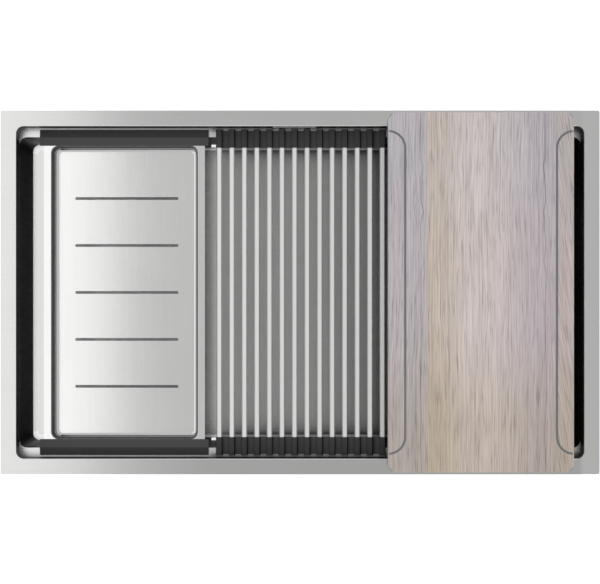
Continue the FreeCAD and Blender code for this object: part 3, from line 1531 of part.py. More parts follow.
def check_document():
    """Stop if an object failed to compute or a cut took nothing away."""
    for item in doc.Objects:
        if "Invalid" in item.State or "Error" in item.State:
            raise ValueError(f"{item.Name} failed: {item.State}")
        if item.TypeId in CUTTING_KINDS:
            if item.Shape.Volume >= item.BaseFeature.Shape.Volume:
                raise ValueError(f"{item.Name} cuts nothing")


def write_parts(parts):
    """Check each sub-part's shape and write it to its own file."""
    for item in parts:
        shape = item.Shape
        if shape.isNull() or not shape.isValid():
            raise ValueError(f"{item.Label} has no valid shape")
    os.makedirs("parts", exist_ok=True)
    for item in parts:
        item.Shape.exportStep(os.path.join("parts", f"{item.Label}.step"))


all_parts = build_parts()
doc.recompute()
check_document()
write_parts(all_parts)
print(f"{len(all_parts)} sub-parts written")
print(f"rim {2 * rim_half_x.value:.1f} by {2 * rim_half_y.value:.1f} mm")
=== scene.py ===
"""Looks of the kitchen sink: finishes for its solids, small parts that repeat and a studio."""

import logging
import math
from collections.abc import Sequence
from dataclasses import dataclass, field, replace
from enum import Enum

import bmesh
import bpy
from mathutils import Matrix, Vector


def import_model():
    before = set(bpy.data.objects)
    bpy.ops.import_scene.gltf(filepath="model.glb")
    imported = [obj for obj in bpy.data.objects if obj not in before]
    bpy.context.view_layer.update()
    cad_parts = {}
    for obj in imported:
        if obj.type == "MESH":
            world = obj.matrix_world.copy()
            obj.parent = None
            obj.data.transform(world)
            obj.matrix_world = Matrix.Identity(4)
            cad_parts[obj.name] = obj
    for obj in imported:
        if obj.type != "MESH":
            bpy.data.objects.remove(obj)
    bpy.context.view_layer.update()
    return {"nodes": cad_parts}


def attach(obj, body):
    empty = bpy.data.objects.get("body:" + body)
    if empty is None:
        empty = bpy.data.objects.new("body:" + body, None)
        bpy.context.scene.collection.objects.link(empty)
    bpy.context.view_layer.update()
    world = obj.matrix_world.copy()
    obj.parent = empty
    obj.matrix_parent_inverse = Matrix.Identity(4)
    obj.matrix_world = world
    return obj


log = logging.getLogger("kitchen_sink")

MM = 0.001
HALF = 0.5

Colour = tuple[float, float, float]
Point = tuple[float, float, float]
Span = tuple[float, float]
Hill = tuple[float, float, float, float]

WHITE = (1.0, 1.0, 1.0, 1.0)
UNMOVED = (0.0, 0.0, 0.0)

# The curve between what a screen shows and linear light
SCREEN_FULL = 255.0
SCREEN_EDGE = 0.04045
SCREEN_SLOPE = 12.92
SCREEN_SHIFT = 0.055
SCREEN_POWER = 2.4


def linear(red: float, green: float, blue: float) -> Colour:
    """Turn a colour of 0 to 255 a channel, as a screen shows it, into linear light.

    Args:
        red: Red from 0 to 255.
        green: Green from 0 to 255.
        blue: Blue from 0 to 255.

    Returns:
        The three channels from 0 to 1 in linear light.
    """
    channels = []
    for value in (red, green, blue):
        share = value / SCREEN_FULL
        if share <= SCREEN_EDGE:
            channels.append(share / SCREEN_SLOPE)
        else:
            channels.append(((share + SCREEN_SHIFT) / (1.0 + SCREEN_SHIFT)) ** SCREEN_POWER)
    return channels[0], channels[1], channels[2]


class Tree:
    """A tree of nodes, with one method for any node."""

    def __init__(self, tree: bpy.types.NodeTree) -> None:
        """Wrap a tree."""
        self.tree = tree

    def node(
        self, kind: str, settings: dict | None = None, inputs: dict | None = None
    ) -> bpy.types.Node:
        """Add one node.

        Args:
            kind: The node's type.
            settings: Properties that are set first.
            inputs: Values, sockets or fields by the input's name or number.

        Returns:
            The new node.
        """
        made = self.tree.nodes.new(kind)
        for name, value in (settings or {}).items():
            setattr(made, name, value)
        for place, value in (inputs or {}).items():
            source = getattr(value, "socket", value)
            if isinstance(source, bpy.types.NodeSocket):
                self.tree.links.new(source, made.inputs[place])
            else:
                made.inputs[place].default_value = value
        return made


# Shader maths


class Field:
    """A number that varies over a surface and takes part in Python expressions."""

    def __init__(self, sheet: "Sheet", socket: bpy.types.NodeSocket) -> None:
        """Wrap one output socket of a sheet's tree."""
        self.sheet = sheet
        self.socket = socket

    def __add__(self, other: "float | Field") -> "Field":
        """Add a number or a field."""
        return self.sheet.math("ADD", self, other)

    def __radd__(self, other: float) -> "Field":
        """Add this field to a number."""
        return self.sheet.math("ADD", other, self)

    def __sub__(self, other: "float | Field") -> "Field":
        """Subtract a number or a field."""
        return self.sheet.math("SUBTRACT", self, other)

    def __rsub__(self, other: float) -> "Field":
        """Subtract this field from a number."""
        return self.sheet.math("SUBTRACT", other, self)

    def __mul__(self, other: "float | Field") -> "Field":
        """Multiply by a number or a field."""
        return self.sheet.math("MULTIPLY", self, other)

    def __rmul__(self, other: float) -> "Field":
        """Multiply a number by this field."""
        return self.sheet.math("MULTIPLY", other, self)

    def __truediv__(self, other: "float | Field") -> "Field":
        """Divide by a number or a field."""
        return self.sheet.math("DIVIDE", self, other)

    def __neg__(self) -> "Field":
        """Change the sign."""
        return self.sheet.math("MULTIPLY", self, -1.0)

    def size(self) -> "Field":
        """Drop the sign."""
        return self.sheet.math("ABSOLUTE", self)

    def root(self) -> "Field":
        """Take the square root."""
        return self.sheet.math("SQRT", self)

    def fraction(self) -> "Field":
        """Keep what stands behind the point."""
        return self.sheet.math("FRACT", self)

    def most(self, other: "float | Field") -> "Field":
        """Take the larger of two."""
        return self.sheet.math("MAXIMUM", self, other)

    def over(self, edge: "float | Field") -> "Field":
        """Give 1 where the field is over an edge and 0 elsewhere."""
        return self.sheet.math("GREATER_THAN", self, edge)

    def swing(self, share: float) -> "Field":
        """Turn a pattern about 0.5 into one about 0 whose whole reach is a share."""
        return (self - HALF) * share

    def rise(self, low: float, high: float) -> "Field":
        """Go smoothly from 0 to 1 between two values.

        Args:
            low: Where the result is 0.
            high: Where the result is 1.

        Returns:
            The smooth step.
        """
        made = self.sheet.node(
            "ShaderNodeMapRange",
            {"interpolation_type": "SMOOTHSTEP"},
            {"Value": self, "From Min": low, "From Max": high, "To Min": 0.0, "To Max": 1.0},
        )
        return Field(self.sheet, made.outputs["Result"])

    def hill(self, start: float, top: float, edge: float, end: float) -> "Field":
        """Go smoothly from 0 to 1 and back to 0.

        Args:
            start: Where the rise begins.
            top: Where it ends.
            edge: Where the fall begins.
            end: Where it ends.

        Returns:
            The hill.
        """
        return self.rise(start, top) * (1.0 - self.rise(edge, end))


@dataclass(frozen=True)
class Noise:
    """A soft random pattern about 0.5, stretched differently along each axis.

    The stretch is in waves a metre along X, Y and Z. The shift keeps two patterns apart, the
    detail counts the finer patterns laid over it, and rough says how strong these are.
    """

    stretch: Point
    shift: Point = UNMOVED
    detail: float = 2.0
    rough: float = 0.5


class Sheet(Tree):
    """The shader nodes of one material."""

    def __init__(self, name: str) -> None:
        """Start an empty tree with an output.

        Args:
            name: Name of the material.
        """
        self.material = bpy.data.materials.new(name)
        self.material.use_nodes = True
        super().__init__(self.material.node_tree)
        self.tree.nodes.clear()
        self._place: Field | None = None

    def math(self, operation: str, *values: "float | Field") -> Field:
        """Add one Math node and give its result."""
        made = self.node("ShaderNodeMath", {"operation": operation}, dict(enumerate(values)))
        return Field(self, made.outputs[0])

    def place(self) -> Field:
        """Give the point on the object, in its own coordinates.

        Returns:
            The point in metres.
        """
        if self._place is None:
            self._place = Field(self, self.node("ShaderNodeTexCoord").outputs["Object"])
        return self._place

    def split(self, vector: Field) -> tuple[Field, Field, Field]:
        """Take a vector apart.

        Args:
            vector: The vector.

        Returns:
            Its three parts.
        """
        made = self.node("ShaderNodeSeparateXYZ", None, {0: vector})
        x, y, z = (Field(self, socket) for socket in made.outputs)
        return x, y, z

    def axes(self) -> tuple[Field, Field, Field]:
        """Give the point's three coordinates in millimetres."""
        x, y, z = (part * (1.0 / MM) for part in self.split(self.place()))
        return x, y, z

    def facing(self) -> tuple[Field, Field, Field]:
        """Give the three parts of the direction that the surface faces, on the object."""
        coordinates = self.node("ShaderNodeTexCoord")
        return self.split(Field(self, coordinates.outputs["Normal"]))

    def noise(self, pattern: Noise, at: Field | None = None) -> Field:
        """Give a random pattern about 0.5.

        Args:
            pattern: Its scales and strength.
            at: The point in metres, if not the point on the object.

        Returns:
            The pattern.
        """
        scaled = self.node(
            "ShaderNodeVectorMath",
            {"operation": "MULTIPLY_ADD"},
            {0: at or self.place(), 1: pattern.stretch, 2: pattern.shift},
        )
        made = self.node(
            "ShaderNodeTexNoise",
            {"noise_dimensions": "3D"},
            {
                "Vector": Field(self, scaled.outputs[0]),
                "Scale": 1.0,
                "Detail": pattern.detail,
                "Roughness": pattern.rough,
            },
        )
        return Field(self, made.outputs[0])

    def tint(
        self, share: "float | Field", first: "Colour | Field", second: "Colour | Field"
    ) -> Field:
        """Mix two colours.

        Args:
            share: How much of the second colour there is.
            first: A colour.
            second: Another colour.

        Returns:
            The mixed colour.
        """
        values = [c if isinstance(c, Field) else (*c, 1.0) for c in (first, second)]
        made = self.node(
            "ShaderNodeMix", {"data_type": "RGBA"}, {0: share, 6: values[0], 7: values[1]}
        )
        return Field(self, made.outputs[2])

    def turned(self, share: Field, first: Field, second: Field) -> Field:
        """Mix two directions.

        Args:
            share: How much of the second direction there is.
            first: A direction.
            second: Another direction.

        Returns:
            The mixed direction.
        """
        made = self.node("ShaderNodeMix", {"data_type": "VECTOR"}, {0: share, 4: first, 5: second})
        return Field(self, made.outputs[1])

    def shaded(self, colour: "Colour | Field", share: "float | Field") -> Field:
        """Multiply a colour by a grey.

        Args:
            colour: The colour.
            share: The grey, which may be over 1.

        Returns:
            The darker or lighter colour.
        """
        grey = self.node("ShaderNodeCombineColor", None, {0: share, 1: share, 2: share})
        value = colour if isinstance(colour, Field) else (*colour, 1.0)
        made = self.node(
            "ShaderNodeMix",
            {"data_type": "RGBA", "blend_type": "MULTIPLY"},
            {0: 1.0, 6: value, 7: Field(self, grey.outputs[0])},
        )
        return Field(self, made.outputs[2])

    def point(self, x: "float | Field", y: "float | Field", z: "float | Field") -> Field:
        """Join three numbers to a point."""
        made = self.node("ShaderNodeCombineXYZ", None, {0: x, 1: y, 2: z})
        return Field(self, made.outputs[0])

    def bump(
        self, height: Field, strength: float, depth: float, normal: Field | None = None
    ) -> Field:
        """Turn a height into a normal.

        Args:
            height: The height, from 0 to 1.
            strength: How much of it counts.
            depth: Its depth in millimetres.
            normal: The normal without the bump, if not the surface's own.

        Returns:
            The normal.
        """
        inputs = {"Height": height, "Strength": strength, "Distance": depth * MM}
        if normal:
            inputs["Normal"] = normal
        made = self.node("ShaderNodeBump", None, inputs)
        return Field(self, made.outputs["Normal"])

    def surface(self, inputs: dict) -> Field:
        """Add one Principled shader and give its output."""
        made = self.node("ShaderNodeBsdfPrincipled", None, inputs)
        return Field(self, made.outputs["BSDF"])

    def done(self, shader: Field) -> bpy.types.Material:
        """Join a shader to the output and give the material."""
        self.node("ShaderNodeOutputMaterial", None, {"Surface": shader})
        return self.material


# Finishes. Places on the sink are in millimetres, and so are a bump's depths.


class Grain(Enum):
    """Which way a steel sheet was brushed, as the number of the axis."""

    ALONG_X = 0
    ALONG_Y = 1
    UPRIGHT = 2

    def turned(self, pattern: Noise) -> Noise:
        """Turn a pattern so that its first stretch runs along the scratches.

        Args:
            pattern: A pattern given as along, across, across.

        Returns:
            The same pattern, stretched this way.
        """
        along, across, _other = pattern.stretch
        x, y, z = (along if axis == self.value else across for axis in range(3))
        return replace(pattern, stretch=(x, y, z))


@dataclass(frozen=True)
class BrushedSteel:
    """Stainless steel with fine straight scratches and, if wanted, a painted highlight on its
    bevels.
    """

    name: str
    shade: float = 0.5
    rough: float = 0.3
    grain: Grain = Grain.ALONG_X
    streak: float = 0.05
    cloud: float = 0.04
    # edge: strength of the painted highlight, which lightens the colour of the bevels
    edge: float = 0.0
    cast: Colour = (1.0, 0.998, 0.99)
    scratches: Noise = Noise((9.0, 1500.0, 1500.0), detail=3.0, rough=0.65)
    streaks: Noise = Noise((2.5, 260.0, 260.0), (3.1, 7.7, 1.3))
    clouds: Noise = Noise((6.0, 6.0, 6.0), (9.0, 2.0, 4.0))
    scratch_rough: float = 0.12
    cloud_rough: float = 0.06
    scratch_bite: float = 0.12
    scratch_depth: float = 0.08
    painted_highlight_bevel: Hill = (0.3, 0.6, 0.8, 0.95)

    def base(self, sheet: Sheet) -> tuple[Field, Field, Field]:
        """Work out what changes over the sheet.

        Args:
            sheet: The material's nodes.

        Returns:
            Lightness, roughness and the height of the scratches.
        """
        fine = sheet.noise(self.grain.turned(self.scratches))
        broad = sheet.noise(self.grain.turned(self.streaks))
        cloud = sheet.noise(self.clouds)
        lightness = (
            1.0 + fine.swing(2.0 * self.streak) + broad.swing(self.streak) + cloud.swing(self.cloud)
        )
        # Painted highlight: faces between upright and level, the bevels, get a lighter colour
        if self.edge:
            _face_x, _face_y, face_z = sheet.facing()
            lightness = lightness * (1.0 + face_z.hill(*self.painted_highlight_bevel) * self.edge)
        roughness = self.rough + fine.swing(self.scratch_rough) + cloud.swing(self.cloud_rough)
        return lightness, roughness, fine

    def metal(
        self,
        sheet: Sheet,
        lightness: Field,
        roughness: Field,
        fine: Field,
        normal: Field | None = None,
    ) -> Field:
        """Give the steel's shader.

        Args:
            sheet: The material's nodes.
            lightness: What the steel's tone is multiplied by.
            roughness: Its roughness.
            fine: The height of the scratches.
            normal: The normal without them, if not the surface's own.

        Returns:
            The shader.
        """
        red, green, blue = (self.shade * part for part in self.cast)
        return sheet.surface(
            {
                "Base Color": sheet.shaded((red, green, blue), lightness),
                "Metallic": 1.0,
                "Roughness": roughness,
                "Normal": sheet.bump(fine, self.scratch_bite, self.scratch_depth, normal),
            }
        )

    def make(self) -> bpy.types.Material:
        """Build the material."""
        sheet = Sheet(self.name)
        return sheet.done(self.metal(sheet, *self.base(sheet)))


@dataclass(frozen=True)
class RimSteel(BrushedSteel):
    """Steel of the rim, with painted shade along the front away from the lamp and painted light on
    the right strip.
    """

    # Painted shade along the front strip and painted light on the right strip
    painted_front_shade: float = 0.13
    painted_right_light: float = 0.06
    strip_y: Span = (218.0, 221.0)
    strip_x: Span = (366.0, 374.0)
    fade_x: Span = (-290.0, -110.0)

    def base(self, sheet: Sheet) -> tuple[Field, Field, Field]:
        """Work out what changes over the sheet.

        Args:
            sheet: The material's nodes.

        Returns:
            Lightness, roughness and the height of the scratches.
        """
        lightness, roughness, fine = super().base(sheet)
        x, y, _z = sheet.axes()
        right_light_mask = x.rise(*self.strip_x)
        front_shade_mask = (-y).rise(*self.strip_y) * x.rise(*self.fade_x)
        # Painted shade on the front strip and painted light on the right strip, multiplied into the
        # colour
        shade = 1.0 - front_shade_mask * (1.0 - right_light_mask) * self.painted_front_shade + right_light_mask * self.painted_right_light
        return lightness * shade, roughness, fine


@dataclass(frozen=True)
class WellSteel(BrushedSteel):
    """Steel of a well, whose upright inner faces are painted near-black, a painted shade and
    painted reflection, and whose floor is shown level.

    The well's middle tells inner faces from outer ones, and the outer faces get a painted shade.
    The bends beside the floor get a painted highlight, apart from those under the rack, which get a
    painted shade, as does the floor under the rack. The foot of the front and back walls glints in
    the gap between the colander and the rack, by a tilted normal and a painted highlight. The floor
    strips at both ends get painted light. Faces are told by the upward part of the direction that
    they face.
    """

    middle_x: float = 0.0
    lean: float = 0.0
    dish: float = 0.0
    # Painted shade on the outer faces
    outer_painted_shade: float = 0.0

    level: Span = (0.985, 0.99)
    side_x: Span = (349.0, 355.0)
    side_face: Span = (0.2, 0.4)
    # Painted light on the floor strips at both ends
    side_painted_light: float = 0.33
    side_polish: float = 0.6

    # Painted highlight on the bends, and painted shade on the bends under the rack
    bend_y: Span = (192.0, 200.0)
    bend_painted_highlight: float = 1.0
    bend_painted_shade_under_rack: float = 1.0
    # Painted shade on the floor under the rack, deeper to the right
    rack_x: Span = (-118.0, -112.0)
    rack_painted_shade: float = 0.0
    rack_least: float = 0.7
    rack_deep_x: Span = (0.0, 95.0)

    glint: float = 0.0
    glint_x: Span = (-124.0, -113.0)
    glint_y: Span = (202.8, 204.3)
    glint_face: Span = (0.0, 0.1)
    # Painted highlight at the glinting foot
    glint_painted_highlight: float = 0.6
    glint_polish: float = 0.93
    glint_aim_x: float = -119.0
    glint_reach: float = 314.0
    glint_lean: float = 0.0185
    glint_dish: float = 1.6

    # Painted shade and painted reflection: the near-black colour of the upright inner faces
    painted_wall_shade: float = 0.009
    dark_face: Span = (0.55, 0.95)
    dark_streaks: Noise = Noise((8.0, 500.0, 500.0))
    dark_least: float = 0.4
    dark_reach: float = 1.2
    dark_rough: float = 0.45
    dark_rough_reach: float = 0.2
    dark_specular: float = 0.12
    dark_bite: float = 0.1
    dark_depth: float = 0.1

    def make(self) -> bpy.types.Material:
        """Build the material.

        Returns:
            The material.
        """
        sheet = Sheet(self.name)
        lightness, roughness, fine = self.base(sheet)
        x, y, _z = sheet.axes()
        face_x, face_y, face_z = sheet.facing()
        level = face_z.rise(*self.level)
        at_side = x.size().rise(*self.side_x)
        in_gap = x.over(self.glint_x[0]) * (1.0 - x.over(self.glint_x[1]))
        at_foot = y.size().rise(*self.glint_y) * (1.0 - level) * face_z.rise(*self.glint_face)
        # glint also lightens the colour at the foot, a painted highlight on top of the tilted
        # normal
        glint = at_foot * in_gap * self.glint
        up = level.most(at_side * face_z.rise(*self.side_face)).most(glint)
        inward = -((x - self.middle_x) * face_x + y * face_y)
        inner = inward.over(-1.0)

        under_rack = x.rise(*self.rack_x)
        below = self.rack_least + x.rise(*self.rack_deep_x) * (1.0 - self.rack_least)
        at_bend = y.size().rise(*self.bend_y) * inner
        painted_bend_highlight_mask = at_bend * (1.0 - level) * (1.0 - under_rack)
        lightness = (
            lightness
            # Painted light on the floor strips at both ends, and a painted highlight at the
            # glinting foot
            * (1.0 + at_side * up * self.side_painted_light + glint * self.glint_painted_highlight)
            # Painted shade on the floor under the rack
            * (1.0 - under_rack * level * below * self.rack_painted_shade)
            # Painted shade on the outer faces
            * (1.0 - (1.0 - inner) * self.outer_painted_shade)
            # Painted highlight on the bends away from the rack
            * (1.0 + painted_bend_highlight_mask * (self.bend_painted_highlight - 1.0))
            # Painted shade on the bends under the rack
            * (1.0 - at_bend * under_rack * (1.0 - self.bend_painted_shade_under_rack))
        )
        polish = (at_side * up * self.side_polish).most(glint * self.glint_polish)
        facing = sheet.point(face_x, face_y, face_z)
        normal = sheet.turned(up, facing, self._floor_normal(sheet, x, y, at_side, glint))
        steel = self.metal(sheet, lightness, roughness * (1.0 - polish), fine, normal)
        # Painted shade and painted reflection: upright inner faces take the near-black shader
        painted_wall_mask = inward.over(0.0) * (1.0 - face_z.size()).rise(*self.dark_face)
        mixed = sheet.node("ShaderNodeMixShader", None, {0: painted_wall_mask, 1: steel, 2: self._painted_dark_walls(sheet)})
        return sheet.done(Field(sheet, mixed.outputs[0]))

    def _floor_normal(
        self, sheet: Sheet, x: Field, y: Field, at_side: Field, glint: Field
    ) -> Field:
        """Give the direction in which the floor is shown: up, with a lean and a slight dish.

        Args:
            sheet: The material's nodes.
            x: Place from left to right.
            y: Place from front to back.
            at_side: 1 in the strips at both ends.
            glint: Where the foot of the walls glints, turned to the light above the gap.

        Returns:
            The direction.
        """
        to_gap = ((self.glint_aim_x - x) / self.glint_reach + self.glint_lean) * glint
        tilt_x = x * at_side * (-self.dish * MM) + to_gap + self.lean
        tilt_y = y * (-self.dish * MM) * (1.0 + glint * self.glint_dish)
        return sheet.point(tilt_x, tilt_y, 1.0)

    def _painted_dark_walls(self, sheet: Sheet) -> Field:
        """Paint the upright inner faces near-black, a painted shade and painted reflection of the
        dark walls that they mirror.

        Args:
            sheet: The material's nodes.

        Returns:
            The shader.
        """
        upright = sheet.noise(Grain.UPRIGHT.turned(self.dark_streaks))
        share = self.dark_least + upright * self.dark_reach
        return sheet.surface(
            {
                "Base Color": sheet.shaded((self.painted_wall_shade, self.painted_wall_shade, self.painted_wall_shade), share),
                "Roughness": self.dark_rough + upright.swing(self.dark_rough_reach),
                "Specular IOR Level": self.dark_specular,
                "Normal": sheet.bump(upright, self.dark_bite, self.dark_depth),
            }
        )


@dataclass(frozen=True)
class LedgeSteel(BrushedSteel):
    """Steel of the ledges, with painted shade from the rack's first sleeve on, darkest by the
    walls, and painted light in the left corners.
    """

    painted_shade_share: float = 0.5
    rack_x: Span = (-123.0, -113.0)
    wall_y: Span = (212.0, 216.0)
    inner_share: float = 0.25
    corner_x: Span = (-346.0, -344.0)
    corner_painted_light: float = 0.16

    def base(self, sheet: Sheet) -> tuple[Field, Field, Field]:
        """Work out what changes over the sheet.

        Args:
            sheet: The material's nodes.

        Returns:
            Lightness, roughness and the height of the scratches.
        """
        lightness, roughness, fine = super().base(sheet)
        x, y, _z = sheet.axes()
        # Painted shade from the rack on, darker near the walls, and painted light in the left
        # corners
        share = self.inner_share + y.size().rise(*self.wall_y) * (1.0 - self.inner_share)
        shade = 1.0 - x.rise(*self.rack_x) * share * (1.0 - self.painted_shade_share)
        shade = shade + (1.0 - x.rise(*self.corner_x)) * self.corner_painted_light
        return lightness * shade, roughness, fine


@dataclass(frozen=True)
class Moulded:
    """Moulded plastic or rubber with a fine matt skin and larger marks."""

    name: str
    colour: Colour
    rough: float = 0.5
    skin: float = 2400.0
    skin_detail: float = 3.0
    skin_rough: float = 0.6
    depth: float = 0.05
    bite: float = 0.25
    specular: float = 0.4
    marks: Noise = Noise((40.0, 40.0, 40.0), (1.0, 5.0, 2.0))
    grain_share: float = 0.25
    mark_share: float = 0.2
    grain_rough: float = 0.2
    mark_rough: float = 0.0

    def paint(self, sheet: Sheet) -> "Colour | Field":
        """Give the colour without grain and marks."""
        return self.colour

    def make(self) -> bpy.types.Material:
        """Build the material.

        Returns:
            The material.
        """
        sheet = Sheet(self.name)
        stretch = (self.skin, self.skin, self.skin)
        grains = sheet.noise(Noise(stretch, detail=self.skin_detail, rough=self.skin_rough))
        marks = sheet.noise(self.marks)
        lightness = 1.0 + grains.swing(self.grain_share) + marks.swing(self.mark_share)
        inputs = {
            "Base Color": sheet.shaded(self.paint(sheet), lightness),
            "Roughness": self.rough
            + grains.swing(self.grain_rough)
            + marks.swing(self.mark_rough),
            "Specular IOR Level": self.specular,
            "Normal": sheet.bump(grains, self.bite, self.depth),
        }
        return sheet.done(sheet.surface(inputs))


@dataclass(frozen=True)
class RunnerPlastic(Moulded):
    """The runners' black plastic, whose facet towards the tray gets a little painted light."""

    bite: float = 0.2
    marks: Noise = Noise((30.0, 700.0, 300.0), (2.0, 8.0, 4.0), detail=3.0)
    grain_share: float = 0.2
    mark_share: float = 0.24
    grain_rough: float = 0.0
    mark_rough: float = 0.2
    inner_facet_painted_light: Colour = (0.046, 0.046, 0.046)
    ridge_y: Span = (205.9, 207.1)

    def paint(self, sheet: Sheet) -> "Colour | Field":
        """Give the colour without grain and marks."""
        _x, y, _z = sheet.axes()
        # Painted light: the facet towards the tray is lighter than the one by the wall
        return sheet.tint(1.0 - y.size().rise(*self.ridge_y), self.colour, self.inner_facet_painted_light)


@dataclass(frozen=True)
class SleeveRubber(Moulded):
    """The sleeves' silicone, with a painted shadow on the faces right of each sleeve and painted
    light on the webs.
    """

    bite: float = 0.2
    marks: Noise = Noise((60.0, 400.0, 90.0), (2.0, 8.0, 4.0))
    grain_share: float = 0.2
    mark_share: float = 0.16
    grain_rough: float = 0.0
    mark_rough: float = 0.2
    web_painted_light: Colour = (0.07, 0.071, 0.072)
    web_top: float = -32.0
    web_face: float = 0.5
    crease_painted_shadow: Colour = (0.004, 0.004, 0.004)
    painted_shadow_face: float = 0.3

    def paint(self, sheet: Sheet) -> "Colour | Field":
        """Give the colour without grain and marks.

        Args:
            sheet: The material's nodes.

        Returns:
            The colour.
        """
        _x, _y, z = sheet.axes()
        face_x, _face_y, face_z = sheet.facing()
        on_web = (1.0 - z.over(self.web_top)) * face_z.over(self.web_face)
        # Painted light on the low webs, against their shade between the sleeves
        colour = sheet.tint(on_web, self.colour, self.web_painted_light)
        # Painted shadow on faces that turn right, away from the light
        return sheet.tint(face_x.over(self.painted_shadow_face), colour, self.crease_painted_shadow)


@dataclass(frozen=True)
class Zinc:
    """Zinc-plated steel, with a faint crystal pattern."""

    name: str
    colour: Colour = (0.55, 0.55, 0.561)
    cells: float = 900.0
    cell_share: float = 0.2
    stains: Noise = Noise((120.0, 120.0, 120.0), detail=3.0)
    stain_share: float = 0.3
    least: float = 0.85
    rough: float = 0.32
    bite: float = 0.1
    depth: float = 0.05

    def make(self) -> bpy.types.Material:
        """Build the material.

        Returns:
            The material.
        """
        sheet = Sheet(self.name)
        scaled = sheet.node(
            "ShaderNodeVectorMath", {"operation": "SCALE"}, {0: sheet.place(), "Scale": self.cells}
        )
        cells = sheet.node(
            "ShaderNodeTexVoronoi", None, {"Vector": Field(sheet, scaled.outputs[0]), "Scale": 1.0}
        )
        spread = Field(sheet, cells.outputs["Distance"])
        stains = sheet.noise(self.stains)
        lightness = self.least + spread * self.cell_share + stains.swing(self.stain_share)
        inputs = {
            "Base Color": sheet.shaded(self.colour, lightness),
            "Metallic": 1.0,
            "Roughness": self.rough + stains.swing(self.stain_share),
            "Normal": sheet.bump(spread, self.bite, self.depth),
        }
        return sheet.done(sheet.surface(inputs))


@dataclass(frozen=True)
class FigureLine:
    """One dark line of the board's figure, which sways and bends round the knots."""

    x: float
    width: float
    share: float = 1.0
    sway: float = 1.0
    bulge: float = 0.0


